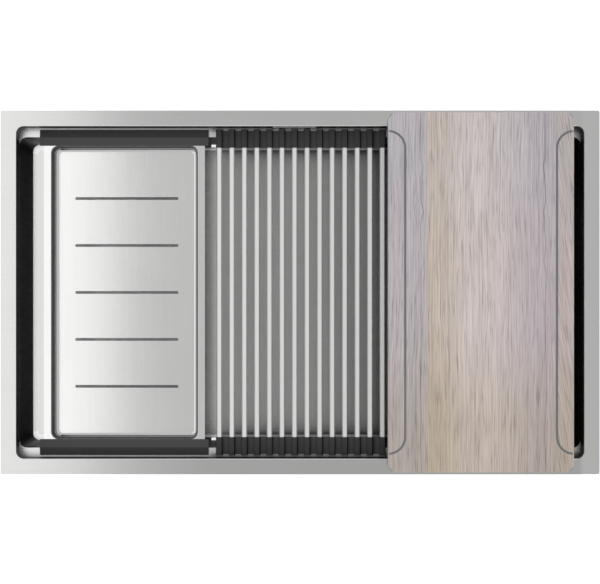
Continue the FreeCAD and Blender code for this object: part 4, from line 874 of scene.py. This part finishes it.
@dataclass(frozen=True)
class LimedOak:
    """Pale oak in three strips, with fibres, pores, faint rings and a few dark figure lines."""

    name: str
    gain: float = 1.05
    seams: Span = (166.4, 336.0)
    seam_width: float = 0.35
    seam_share: float = 0.12

    # Tones of the strips, and where one runs into the next
    grey: Colour = linear(179, 172, 175)
    tan: Colour = linear(187, 174, 162)
    pale: Colour = linear(197, 186, 183)
    dusk: Colour = linear(176, 166, 170)
    # brown is a painted shade towards the front
    front_painted_shade_brown: Colour = linear(150, 133, 84)
    cool: Colour = linear(168, 176, 186)
    mauve: Colour = linear(178, 167, 176)
    pale_x: Span = (166.4, 232.0)
    dusk_x: Span = (240.0, 318.0)
    right_share: float = 0.5
    far_y: Span = (20.0, 185.0)
    cool_share: float = 0.14
    front_painted_shade_share: float = 0.29
    mauve_span: Span = (0.0, 0.3)
    mauve_start: float = 0.42
    mauve_share: float = 0.12

    # How the grain runs: slow waves, faster sways and the slant of the outer strips
    wave: Noise = Noise((11.0, 5.0, 11.0), (4.0, 1.0, 2.0))
    sway: Noise = Noise((34.0, 17.0, 30.0), (1.0, 6.0, 3.0), detail=1.0)
    wave_reach: float = 9.0
    sway_reach: float = 3.2
    left_slant: float = -0.02
    right_slant: float = 0.16
    left_apart: float = 400.0
    right_apart: float = 900.0

    # What lies along the grain, and how much each darkens or lightens
    lines: Noise = Noise((330.0, 9.0, 150.0), rough=0.65)
    hairs: Noise = Noise((760.0, 17.0, 400.0), (4.0, 4.0, 4.0), rough=0.7)
    pores: Noise = Noise((520.0, 26.0, 480.0), (5.0, 3.0, 8.0), detail=1.0)
    threads: Noise = Noise((125.0, 6.0, 60.0), (7.0, 3.0, 1.0), rough=0.6)
    bands: Noise = Noise((64.0, 3.5, 40.0), (8.0, 2.0, 6.0), detail=1.0)
    patches: Noise = Noise((20.0, 8.0, 20.0), (2.0, 9.0, 5.0))
    lightest: float = 1.142
    line_share: float = 0.28
    hair_share: float = 0.6
    band_share: float = 0.24
    patch_share: float = 0.14
    pore_edge: Span = (0.56, 0.68)
    pore_share: float = 0.2
    fibre_edge: Span = (0.0, 0.05)
    fibre_share: float = 0.09
    left_share: float = 0.045

    # Fine rows of fibres
    row_pitch: float = 3.7
    row_bend: float = 9.0
    row_fray: float = 1.6
    row_shape: Hill = (0.25, 0.6, 0.6, 0.95)
    row_least: float = 0.35
    row_pores: float = 1.3
    row_share: float = 0.17

    # Year rings about a heart below the board, which sinks from back to front
    heart: Span = (243.7, 17.0)
    heart_y: float = -93.0
    heart_slope: float = 0.05
    ring: float = 5.2
    ring_z: float = 20.0
    ring_depth: float = 0.9
    ring_wave: float = 26.0
    ring_sway: float = 6.0
    ring_lift: float = 8.0
    ring_shape: Hill = (0.35, 0.9, 0.92, 1.0)
    ring_share: float = 0.06

    # Dark figure lines, and the knots that push them aside
    figure: tuple[FigureLine, ...] = (
        FigureLine(158.0, 0.55, bulge=-1.0),
        FigureLine(152.0, 0.5, share=0.5, bulge=0.6),
        FigureLine(321.0, 0.6, sway=-1.2, bulge=0.5),
        FigureLine(311.0, 0.5, share=0.5),
    )
    figure_share: float = 0.5
    figure_wave: float = 8.0
    figure_sway: float = 3.0
    knots: tuple[float, ...] = (163.0, 106.0, 40.0)
    knot_length: float = 15.0
    knot_bulge: float = 3.6
    fading: Noise = Noise((9.0, 14.0, 9.0), (6.0, 2.0, 2.0), detail=1.0)
    fading_edge: Span = (0.3, 0.6)
    faintest: float = 0.45
    line_edge: Span = (0.3, 1.7)

    # The grooves, sunk below the board's face, coloured with a painted shade
    groove_painted_shade: Colour = linear(122, 125, 129)
    groove_z: Span = (21.57, 22.97)
    middle_x: float = 236.85
    half_x: float = 119.8
    half_y: float = 233.8

    # Relief of lines, hairs, fibres, pores and rings
    relief: tuple[float, ...] = (0.4, 0.4, -0.3, -0.5, -0.2)
    bite: float = 0.3
    depth: float = 0.15
    rough: float = 0.58
    hair_rough: float = 0.2
    ring_rough: float = 0.06
    specular: float = 0.3

    def make(self) -> bpy.types.Material:
        """Build the material.

        Returns:
            The material.
        """
        sheet = Sheet(self.name)
        x, y, z = sheet.axes()
        in_left = 1.0 - x.over(self.seams[0])
        in_right = x.over(self.seams[1])
        wave = sheet.noise(self.wave) - HALF
        sway = sheet.noise(self.sway) - HALF
        slant = (in_left * self.left_slant + in_right * self.right_slant) * y
        bent_x = x + wave * self.wave_reach + sway * self.sway_reach + slant
        apart = in_left * self.left_apart + in_right * self.right_apart
        grain = sheet.point((bent_x + apart) * MM, y * MM, z * MM)
        lines, hairs, pores, threads, bands = (
            sheet.noise(pattern, grain)
            for pattern in (self.lines, self.hairs, self.pores, self.threads, self.bands)
        )
        patches = sheet.noise(self.patches)
        dark_pores = pores.rise(*self.pore_edge)
        fibres = 1.0 - (threads - HALF).size().rise(*self.fibre_edge)
        frayed_x = bent_x + threads.swing(self.row_bend) + hairs.swing(self.row_fray)
        rows = (frayed_x / self.row_pitch).fraction().hill(*self.row_shape)
        rings = self._rings(x, y, z, wave, sway) * (1.0 - in_left)
        lightness = (
            self.lightest
            + lines.swing(self.line_share)
            + hairs.swing(self.hair_share)
            + bands.swing(self.band_share)
            + patches.swing(self.patch_share)
            - rows * (self.row_least + pores * self.row_pores) * self.row_share
            - fibres * self.fibre_share
            - dark_pores * self.pore_share
            - rings * self.ring_share
            - self._figure(sheet, x, y, wave, sway) * self.figure_share
            - in_left * self.left_share
        )
        colour = sheet.shaded(self._tone(sheet, x, y), lightness * self.gain)
        mauve = (patches - self.mauve_start).rise(*self.mauve_span) * self.mauve_share
        colour = sheet.tint(mauve, colour, self.mauve)
        left_seam, right_seam = (self._line(x - seam, self.seam_width) for seam in self.seams)
        colour = sheet.shaded(colour, 1.0 - (left_seam + right_seam) * self.seam_share)
        # Painted shade in the grooves
        colour = sheet.tint(self._sunk(x, y, z), colour, self.groove_painted_shade)
        parts = (lines, hairs, fibres, dark_pores, rings)
        height = sum((part * share for part, share in zip(parts, self.relief)), start=0.0)
        inputs = {
            "Base Color": colour,
            "Roughness": self.rough + hairs.swing(self.hair_rough) + rings * self.ring_rough,
            "Specular IOR Level": self.specular,
            "Normal": sheet.bump(height, self.bite, self.depth),
        }
        return sheet.done(sheet.surface(inputs))

    def _tone(self, sheet: Sheet, x: Field, y: Field) -> Field:
        """Give each glued strip its tone, darker and browner to the front by a painted shade, and
        cooler to the back.

        Args:
            sheet: The material's nodes.
            x: Place from left to right.
            y: Place from front to back.

        Returns:
            The wood's colour without its grain.
        """
        colour = sheet.tint(x.rise(*self.pale_x), self.tan, self.pale)
        colour = sheet.tint(x.rise(*self.dusk_x), colour, self.dusk)
        colour = sheet.tint(x.over(self.seams[1]) * self.right_share, colour, self.tan)
        colour = sheet.tint(1.0 - x.over(self.seams[0]), colour, self.grey)
        colour = sheet.tint(y.rise(*self.far_y) * self.cool_share, colour, self.cool)
        # Painted shade: darker and browner towards the front
        return sheet.tint((-y).rise(*self.far_y) * self.front_painted_shade_share, colour, self.front_painted_shade_brown)

    def _rings(self, x: Field, y: Field, z: Field, wave: Field, sway: Field) -> Field:
        """Give the dark late wood of the year rings.

        Args:
            x: Place from left to right.
            y: Place from front to back.
            z: Place from bottom to top.
            wave: Slow waves about 0.
            sway: Faster waves about 0.

        Returns:
            How much late wood there is, from 0 to 1.
        """
        heart_x, heart_z = self.heart
        across = x - heart_x + wave * self.ring_wave + sway * self.ring_sway
        below = (
            heart_z
            + (y - self.heart_y) * self.heart_slope
            + (self.ring_z - z) * self.ring_depth
            + wave * self.ring_lift
        )
        distance = (across * across + below * below).root()
        return (distance / self.ring).fraction().hill(*self.ring_shape)

    def _figure(self, sheet: Sheet, x: Field, y: Field, wave: Field, sway: Field) -> Field:
        """Draw the dark wavy lines of the left strip and left of the right seam.

        Args:
            sheet: The material's nodes.
            x: Place from left to right.
            y: Place from front to back.
            wave: Slow waves about 0.
            sway: Faster waves about 0.

        Returns:
            How dark the figure is, from 0 to 1.
        """
        bulge: Field | float = 0.0
        for knot in self.knots:
            reach = (y - knot).size() / self.knot_length
            bulge = bulge + (1.0 - reach.rise(0.0, 1.0)) * self.knot_bulge
        lean = wave * self.figure_wave + sway * self.figure_sway
        drawn: Field | float = 0.0
        for line in self.figure:
            distance = x - line.x + lean * line.sway + bulge * line.bulge
            drawn = drawn + self._line(distance, line.width) * line.share
        fade = sheet.noise(self.fading).rise(*self.fading_edge)
        return drawn * (self.faintest + fade * (1.0 - self.faintest))

    def _sunk(self, x: Field, y: Field, z: Field) -> Field:
        """Give 1 in the grooves and 0 elsewhere.

        Args:
            x: Place from left to right.
            y: Place from front to back.
            z: Place from bottom to top.

        Returns:
            The grooves' mask.
        """
        inside_x = 1.0 - (x - self.middle_x).size().over(self.half_x)
        inside_y = 1.0 - y.size().over(self.half_y)
        low, high = self.groove_z
        return inside_x * inside_y * (1.0 - z.over(high)) * z.over(low)

    def _line(self, distance: Field, width: float) -> Field:
        """Give 1 on a thin line and 0 away from it.

        Args:
            distance: Signed distance from the line.
            width: Half of the line's width.

        Returns:
            The line's mask.
        """
        near, far = self.line_edge
        return 1.0 - distance.size().rise(width * near, width * far)


# Meshes and geometry nodes


def shown_mesh(name: str, points: Sequence[Point]) -> bpy.types.Object:
    """Make an object whose mesh holds loose points, given in millimetres.

    Args:
        name: Name of the object.
        points: Where the copies of a small part stand.

    Returns:
        The object, with its place in its mesh.
    """
    mesh = bpy.data.meshes.new(name)
    mesh.from_pydata([tuple(value * MM for value in point) for point in points], [], [])
    made = bpy.data.objects.new(name, mesh)
    bpy.context.scene.collection.objects.link(made)
    return made


def tidy_normals(mesh: bpy.types.Mesh) -> None:
    """Turn every face of a closed mesh outwards.

    Args:
        mesh: The mesh.
    """
    edit = bmesh.new()
    edit.from_mesh(mesh)
    bmesh.ops.recalc_face_normals(edit, faces=edit.faces)
    edit.to_mesh(mesh)
    edit.free()


class Growth(Tree):
    """A geometry-node tree with named inputs that turns points into a piece."""

    def __init__(self, name: str) -> None:
        """Start a tree that takes points and gives a mesh.

        Args:
            name: Name of the tree.
        """
        super().__init__(bpy.data.node_groups.new(name, "GeometryNodeTree"))
        for way in ("INPUT", "OUTPUT"):
            self.tree.interface.new_socket(
                "Geometry", in_out=way, socket_type="NodeSocketGeometry"
            )
        self.start = self.tree.nodes.new("NodeGroupInput")
        self.end = self.tree.nodes.new("NodeGroupOutput")
        self.identifiers: dict[str, str] = {}

    def named(self, kinds: dict[str, str]) -> list[bpy.types.NodeSocket]:
        """Add named inputs and give the sockets that carry them.

        Args:
            kinds: The kind of each input by its name.

        Returns:
            The sockets on the tree's start node, in the same order.
        """
        for name, kind in kinds.items():
            made = self.tree.interface.new_socket(
                name, in_out="INPUT", socket_type=f"NodeSocket{kind}"
            )
            self.identifiers[name] = made.identifier
        return [self.start.outputs[name] for name in kinds]

    def copies(
        self,
        points: bpy.types.NodeSocket,
        shape: bpy.types.NodeSocket,
        more: dict | None = None,
    ) -> bpy.types.NodeSocket:
        """Set a copy of a shape on every point.

        Args:
            points: The points.
            shape: The shape.
            more: Further inputs, such as the copies' rotation or scale.

        Returns:
            The copies.
        """
        inputs = {"Points": points, "Instance": shape, **(more or {})}
        return self.node("GeometryNodeInstanceOnPoints", None, inputs).outputs[0]

    def close(self, instances: bpy.types.NodeSocket, finish: bpy.types.NodeSocket) -> None:
        """End the tree with real meshes that carry a material.

        Args:
            instances: The copies.
            finish: The material's socket.
        """
        real = self.node("GeometryNodeRealizeInstances", None, {0: instances})
        dressed = self.node(
            "GeometryNodeSetMaterial", None, {"Geometry": real.outputs[0], "Material": finish}
        )
        self.tree.links.new(dressed.outputs[0], self.end.inputs[0])

    def grow(
        self, name: str, points: Sequence[Point], values: dict, smooth: bool
    ) -> bpy.types.Object:
        """Run the tree on points and keep its result as a plain mesh.

        Args:
            name: Name of the piece.
            points: Host points in millimetres.
            values: The tree's named inputs.
            smooth: Whether the piece is shaded smoothly.

        Returns:
            The piece, with no modifier.
        """
        host = shown_mesh(name, points)
        modifier = host.modifiers.new("grown", "NODES")
        modifier.node_group = self.tree
        for label, value in values.items():
            modifier[self.identifiers[label]] = value
        graph = bpy.context.evaluated_depsgraph_get()
        grown = bpy.data.meshes.new_from_object(host.evaluated_get(graph), depsgraph=graph)
        grown.name = name
        host.modifiers.clear()
        host.data = grown
        tidy_normals(grown)
        grown.polygons.foreach_set("use_smooth", [smooth] * len(grown.polygons))
        return host


RIDGE_SIDES = 4
RIB_SIDES = 6
DROP_ROUNDS = 1
ANY_TURN = (3.0, 3.0, 3.0)


def ring_stack() -> Growth:
    """Build the tree for threads and barbs: rings stacked down an axis at each host point.

    Returns:
        The tree.
    """
    growth = Growth("ring_stack")
    turns, pitch, radius, ridge, sides, tilt, finish = growth.named(
        {
            "Turns": "Int",
            "Pitch": "Float",
            "Radius": "Float",
            "Ridge": "Float",
            "Sides": "Int",
            "Tilt": "Vector",
            "Finish": "Material",
        }
    )
    circle, section = (
        growth.node(
            "GeometryNodeCurvePrimitiveCircle",
            {"mode": "RADIUS"},
            {"Resolution": count, "Radius": size},
        )
        for count, size in ((sides, radius), (RIDGE_SIDES, ridge))
    )
    ring = growth.node(
        "GeometryNodeCurveToMesh",
        None,
        {0: circle.outputs[0], "Profile Curve": section.outputs[0]},
    )
    down = growth.node("ShaderNodeMath", {"operation": "MULTIPLY"}, {0: pitch, 1: -1.0})
    step = growth.node("ShaderNodeCombineXYZ", None, {"Z": down.outputs[0]})
    line = growth.node(
        "GeometryNodeMeshLine", {"mode": "OFFSET"}, {"Count": turns, "Offset": step.outputs[0]}
    )
    stack = growth.copies(line.outputs[0], ring.outputs[0])
    turned = growth.node("FunctionNodeEulerToRotation", None, {0: tilt})
    spread = growth.copies(growth.start.outputs[0], stack, {"Rotation": turned.outputs[0]})
    growth.close(spread, finish)
    return growth


def rib_circle() -> Growth:
    """Build the tree for a knurl: upright ribs round an axis at each host point.

    Returns:
        The tree.
    """
    growth = Growth("rib_circle")
    count, radius, rib, height, finish = growth.named(
        {"Count": "Int", "Radius": "Float", "Rib": "Float", "Height": "Float", "Finish": "Material"}
    )
    circle = growth.node("GeometryNodeMeshCircle", None, {"Vertices": count, "Radius": radius})
    shape = growth.node(
        "GeometryNodeMeshCylinder", None, {"Vertices": RIB_SIDES, "Radius": rib, "Depth": height}
    )
    ribs = growth.copies(circle.outputs[0], shape.outputs["Mesh"])
    growth.close(growth.copies(growth.start.outputs[0], ribs), finish)
    return growth


def weld_dots() -> Growth:
    """Build the tree for weld beads: a drop of uneven size and turn at each host point.

    Returns:
        The tree.
    """
    growth = Growth("weld_dots")
    size, least, seed, finish = growth.named(
        {"Size": "Float", "Least": "Float", "Seed": "Int", "Finish": "Material"}
    )
    drop = growth.node(
        "GeometryNodeMeshIcoSphere", None, {"Radius": size, "Subdivisions": DROP_ROUNDS}
    )
    share = growth.node(
        "FunctionNodeRandomValue", {"data_type": "FLOAT"}, {2: least, 3: 1.0, "Seed": seed}
    )
    turn = growth.node(
        "FunctionNodeRandomValue",
        {"data_type": "FLOAT_VECTOR"},
        {0: UNMOVED, 1: ANY_TURN, "Seed": seed},
    )
    turned = growth.node("FunctionNodeEulerToRotation", None, {0: turn.outputs[0]})
    spread = growth.copies(
        growth.start.outputs[0],
        drop.outputs["Mesh"],
        {"Rotation": turned.outputs[0], "Scale": share.outputs[1]},
    )
    growth.close(spread, finish)
    return growth


def dress(item: bpy.types.Object, material: bpy.types.Material) -> None:
    """Give a whole object one material.

    Args:
        item: The object.
        material: The material.
    """
    if not item.material_slots:
        item.data.materials.append(material)
    for slot in item.material_slots:
        slot.material = material


# Sub-assemblies, with their sizes in millimetres


@dataclass
class Frame:
    """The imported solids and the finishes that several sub-assemblies share."""

    nodes: dict[str, bpy.types.Object]
    finishes: dict[str, bpy.types.Material] = field(default_factory=dict)

    def dress(self, finish: str, *nodes: str) -> None:
        """Give nodes one of the finishes.

        Args:
            finish: Name of the finish.
            nodes: Names of the nodes.
        """
        for node in nodes:
            dress(self.nodes[node], self.finishes[finish])
            log.info("%s is dressed in %s", node, finish)

    def keep(self, piece: bpy.types.Object, body: str) -> None:
        """Let a new piece ride on a body and report it.

        Args:
            piece: The piece.
            body: The body that it moves with.
        """
        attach(piece, body)
        log.info("%s: %d faces, rides on %s", piece.name, len(piece.data.polygons), body)


@dataclass(frozen=True)
class Thread:
    """Rings stacked down an axis: a screw's thread or a hose's barbs."""

    turns: int
    pitch: float
    radius: float
    ridge: float
    sides: int
    tilt: Point = UNMOVED

    def inputs(self, finish: bpy.types.Material) -> dict:
        """Give the named inputs of the tree for threads.

        Args:
            finish: The material.

        Returns:
            The values by name, with lengths in metres.
        """
        return {
            "Turns": self.turns,
            "Pitch": self.pitch * MM,
            "Radius": self.radius * MM,
            "Ridge": self.ridge * MM,
            "Sides": self.sides,
            "Tilt": self.tilt,
            "Finish": finish,
        }


@dataclass
class Shell:
    """Rim, walls, ledges, bowl and the sound pads outside them."""

    well: tuple[str, ...] = ("upper_walls", "bowl_walls", "floor_bends", "bowl_floor")
    pads: tuple[str, ...] = ("pad_back", "pad_front", "pad_left", "pad_right", "pad_floor")

    def build(self, frame: Frame) -> None:
        """Dress the shell.

        Args:
            frame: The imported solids.
        """
        frame.dress("rim_steel", "rim_plate")
        frame.dress("ledge_steel", "ledge_frame")
        frame.dress("bowl_steel", *self.well)
        frame.dress("pad_rubber", *self.pads)


@dataclass
class Clips:
    """The worktop clips: threads on their bolts and weld beads at their brackets."""

    long_side: tuple[float, ...] = (-299.16, -100.97, 100.97, 299.16)
    short_side: tuple[float, ...] = (-109.5, 109.5)
    wall_x: float = 375.45
    wall_y: float = 220.5
    bolt_out: float = 5.0
    bracket_half: float = 10.0
    leg_low: float = -18.5
    leg_high: float = -9.0
    thread_top: float = -11.5
    thread: Thread = Thread(turns=30, pitch=1.0, radius=2.35, ridge=0.3, sides=10)
    beads: int = 8
    bead_out: float = 0.3
    bead_radius: float = 0.95
    bead_least: float = 0.7
    bead_seed: int = 5

    def build(self, frame: Frame, stack: Growth, weld: Growth) -> None:
        """Dress the clips and add threads and welds.

        Args:
            frame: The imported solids.
            stack: The tree for threads.
            weld: The tree for weld beads.
        """
        frame.dress("clip_steel", "clip_brackets")
        frame.dress("zinc", "clip_bolts", "clip_arms", "clip_nuts")
        zinc = frame.finishes["zinc"]
        tops = [(x, y, self.thread_top) for x, y in self._bolts()]
        threads = stack.grow("clip_bolt_threads", tops, self.thread.inputs(zinc), smooth=False)
        frame.keep(threads, "sink")
        bead = {
            "Size": self.bead_radius * MM,
            "Least": self.bead_least,
            "Seed": self.bead_seed,
            "Finish": zinc,
        }
        beads = weld.grow("clip_bracket_welds", self._weld_points(), bead, smooth=True)
        frame.keep(beads, "sink")

    def _bolts(self) -> list[tuple[float, float]]:
        """Place the bolts.

        Returns:
            X and Y of every bolt's axis.
        """
        out_x = self.wall_x + self.bolt_out
        out_y = self.wall_y + self.bolt_out
        found = [(x, side * out_y) for x in self.long_side for side in (-1, 1)]
        return found + [(side * out_x, y) for y in self.short_side for side in (-1, 1)]

    def _weld_points(self) -> list[Point]:
        """Place both weld beads of every bracket.

        Returns:
            The middles of their drops.
        """
        step = (self.leg_high - self.leg_low) / (self.beads - 1)
        half = self.bracket_half + self.bead_out
        out_x, out_y = self.wall_x + self.bead_out, self.wall_y + self.bead_out
        points = []
        for z in (self.leg_low + index * step for index in range(self.beads)):
            for end in (-half, half):
                for side in (-1, 1):
                    points += [(x + end, side * out_y, z) for x in self.long_side]
                    points += [(side * out_x, y + end, z) for y in self.short_side]
        return points


@dataclass
class Overflow:
    """Overflow in the back wall: cover, gasket, housing and its barbed spigot."""

    top: Point = (-7.0, 221.0, -60.0)
    barb: Thread = Thread(turns=4, pitch=4.6, radius=8.5, ridge=0.7, sides=40)

    def build(self, frame: Frame, stack: Growth) -> None:
        """Dress the overflow and add the barbs.

        Args:
            frame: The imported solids.
            stack: The tree for barbs.
        """
        frame.dress("cover_steel", "overflow_cover")
        frame.dress("drain_steel", "overflow_screws")
        frame.dress("seal_rubber", "overflow_gasket")
        frame.dress("waste_plastic", "overflow_housing")
        values = self.barb.inputs(frame.finishes["waste_plastic"])
        barbs = stack.grow("overflow_spigot_barbs", [self.top], values, smooth=True)
        frame.keep(barbs, "sink")


@dataclass
class Drain:
    """Strainer waste under the bowl and the basket that lifts out of it."""

    outlet_top: Point = (236.95, 100.0, -276.0)
    outlet: Thread = Thread(turns=7, pitch=2.6, radius=23.8, ridge=0.55, sides=64)
    inlet_start: Point = (184.5, 100.0, -228.0)
    inlet: Thread = Thread(
        turns=8, pitch=2.2, radius=10.9, ridge=0.45, sides=40, tilt=(0.0, math.pi / 2, 0.0)
    )
    knob_middle: Point = (236.95, 100.0, -210.3)
    knob_radius: float = 9.0
    knob_height: float = 6.4
    knob_ribs: int = 36
    rib_radius: float = 0.42

    def build(self, frame: Frame, stack: Growth, ribs: Growth) -> None:
        """Dress the drain and add its threads and the knob's ribs.

        Args:
            frame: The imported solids.
            stack: The tree for threads.
            ribs: The tree for the knurl.
        """
        frame.dress(
            "drain_steel", "strainer_cup", "clamp_screw", "strainer_basket", "basket_knob"
        )
        frame.dress("seal_rubber", "strainer_gasket", "waste_gasket", "basket_seal")
        frame.dress("waste_plastic", "waste_body")
        plastic = frame.finishes["waste_plastic"]
        for name, top, thread in (
            ("waste_outlet_thread", self.outlet_top, self.outlet),
            ("overflow_inlet_thread", self.inlet_start, self.inlet),
        ):
            made = stack.grow(name, [top], thread.inputs(plastic), smooth=True)
            frame.keep(made, "sink")
        rib = {
            "Count": self.knob_ribs,
            "Radius": self.knob_radius * MM,
            "Rib": self.rib_radius * MM,
            "Height": self.knob_height * MM,
            "Finish": frame.finishes["drain_steel"],
        }
        knurl = ribs.grow("basket_knob_ribs", [self.knob_middle], rib, smooth=False)
        frame.keep(knurl, "basket")


@dataclass
class Colander:
    """Steel tray that hangs on two plastic runners."""

    runners: tuple[str, str] = ("colander_runner_back", "colander_runner_front")

    def build(self, frame: Frame) -> None:
        """Dress the colander."""
        frame.dress("tray_steel", "colander_tray")
        frame.dress("runner_plastic", *self.runners)


@dataclass
class Rack:
    """Rolling rack of steel tubes in silicone sleeves."""

    bars: int = 14

    def build(self, frame: Frame) -> None:
        """Dress the rack.

        Args:
            frame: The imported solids.
        """
        for number in range(1, self.bars + 1):
            frame.dress("bar_steel", f"rack_bar_{number:02d}")
            frame.dress("sleeve_silicone", f"rack_sleeves_{number:02d}")


@dataclass
class Board:
    """Cutting board that lies on the rim."""

    node: str = "cutting_board"

    def build(self, frame: Frame) -> None:
        """Dress the board."""
        frame.dress("board_oak", self.node)


@dataclass
class Studio:
    """Pale floor, even soft light with a large lamp on the left, and the camera overhead.

    Its lengths are in metres, apart from the lens and the sensor, which are in millimetres.
    """

    eye: float = 3.061
    lens: float = 139.4
    sensor: float = 36.0
    shift: float = 0.0007
    sight: Span = (0.1, 60.0)
    floor_z: float = -0.2985
    floor_size: float = 12.0
    floor_shade: float = 0.75
    floor_glow: float = 0.62
    floor_rough: float = 0.9
    floor_specular: float = 0.1
    floor_clouds: Noise = Noise((3.0, 3.0, 3.0))
    floor_least: float = 0.98
    floor_reach: float = 0.04
    sky: float = 0.85
    lamp_z: float = 4.2
    lamp_right: float = -0.667
    lamp_width: float = 2.4
    lamp_depth: float = 4.0
    lamp_glow: float = 0.9

    def build(self) -> None:
        """Make floor, light and camera."""
        scene = bpy.context.scene
        scene.view_settings.view_transform = "Standard"
        scene.view_settings.look = "None"
        world = bpy.data.worlds.new("soft_room")
        world.use_nodes = True
        world.node_tree.nodes["Background"].inputs["Color"].default_value = WHITE
        world.node_tree.nodes["Background"].inputs["Strength"].default_value = self.sky
        scene.world = world
        self._floor()
        self._lamp()
        camera = bpy.data.cameras.new("overhead")
        camera.lens = self.lens
        camera.sensor_width = self.sensor
        camera.shift_y = self.shift
        camera.clip_start, camera.clip_end = self.sight
        eye = bpy.data.objects.new("overhead", camera)
        eye.location = (0.0, 0.0, self.eye)
        scene.collection.objects.link(eye)
        scene.camera = eye
        log.info("studio: eye %.3f m up, lens %.0f mm", self.eye, self.lens)

    def _floor(self) -> None:
        """Make the pale floor."""
        half = self.floor_size / 2
        mesh = bpy.data.meshes.new("studio_floor")
        corners = [(-half, -half), (half, -half), (half, half), (-half, half)]
        mesh.from_pydata([(x, y, self.floor_z) for x, y in corners], [], [(0, 1, 2, 3)])
        floor = bpy.data.objects.new("studio_floor", mesh)
        bpy.context.scene.collection.objects.link(floor)
        sheet = Sheet("pale_floor")
        share = self.floor_least + sheet.noise(self.floor_clouds) * self.floor_reach
        inputs = {
            "Base Color": sheet.shaded((self.floor_shade,) * 3, share),
            "Roughness": self.floor_rough,
            "Specular IOR Level": self.floor_specular,
            "Emission Color": WHITE,
            "Emission Strength": self.floor_glow,
        }
        dress(floor, sheet.done(sheet.surface(inputs)))

    def _lamp(self) -> None:
        """Hang the large soft lamp on the left, facing down."""
        data = bpy.data.lights.new("soft_panel", "AREA")
        data.shape = "RECTANGLE"
        data.size = self.lamp_width
        data.size_y = self.lamp_depth
        data.energy = self.lamp_glow * math.pi * self.lamp_width * self.lamp_depth
        lamp = bpy.data.objects.new("soft_panel", data)
        lamp.location = (self.lamp_right - self.lamp_width / 2, 0.0, self.lamp_z)
        bpy.context.scene.collection.objects.link(lamp)


def make_finishes() -> dict[str, bpy.types.Material]:
    """Make every finish of the sink.

    Returns:
        The materials by name.
    """
    kinds = [
        # The rim gets a painted highlight on its bevels, painted shade along the front and painted
        # light on the right
        RimSteel("rim_steel", shade=0.467, rough=0.155, streak=0.008, cloud=0.02, edge=1.0),
        BrushedSteel("clip_steel", streak=0.03),
        LedgeSteel("ledge_steel", rough=0.25, streak=0.03),
        WellSteel(
            "bowl_steel",
            shade=0.66,
            rough=0.2,
            bend_painted_highlight=1.4,
            bend_painted_shade_under_rack=0.45,
            rack_painted_shade=0.55,
            dish=0.153,
            glint=1.0,
            outer_painted_shade=0.45,
        ),
        WellSteel(
            "tray_steel",
            shade=0.56,
            rough=0.12,
            grain=Grain.ALONG_Y,
            streak=0.008,
            cloud=0.02,
            # Painted shade and painted reflection on the tray's upright inner faces
            painted_wall_shade=0.024,
            middle_x=-233.95,
            lean=-0.0075,
        ),
        BrushedSteel("bar_steel", shade=0.66, rough=0.35, grain=Grain.ALONG_Y, streak=0.02),
        BrushedSteel("cover_steel", shade=0.36, rough=0.25),
        BrushedSteel("drain_steel", shade=0.62, rough=0.16, grain=Grain.UPRIGHT, streak=0.03),
        RunnerPlastic("runner_plastic", colour=(0.056, 0.056, 0.057)),
        SleeveRubber("sleeve_silicone", colour=(0.039, 0.04, 0.041), rough=0.62, specular=0.25),
        Moulded("waste_plastic", colour=(0.78, 0.78, 0.76), rough=0.42, mark_share=0.04),
        Moulded("seal_rubber", colour=(0.03, 0.03, 0.03), rough=0.7),
        Moulded("pad_rubber", colour=(0.16, 0.16, 0.17), rough=0.85, skin=900.0, depth=0.2),
        Zinc("zinc"),
        LimedOak("board_oak"),
    ]
    return {kind.name: kind.make() for kind in kinds}


def main() -> None:
    """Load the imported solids, dress them and set the studio."""
    logging.basicConfig(level=logging.INFO, format="%(name)s: %(message)s")
    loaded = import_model()
    frame = Frame(loaded["nodes"], make_finishes())
    stack, ribs, weld = ring_stack(), rib_circle(), weld_dots()
    Shell().build(frame)
    Clips().build(frame, stack, weld)
    Overflow().build(frame, stack)
    Drain().build(frame, stack, ribs)
    Colander().build(frame)
    Rack().build(frame)
    Board().build(frame)
    Studio().build()


if __name__ == "__main__":
    main()
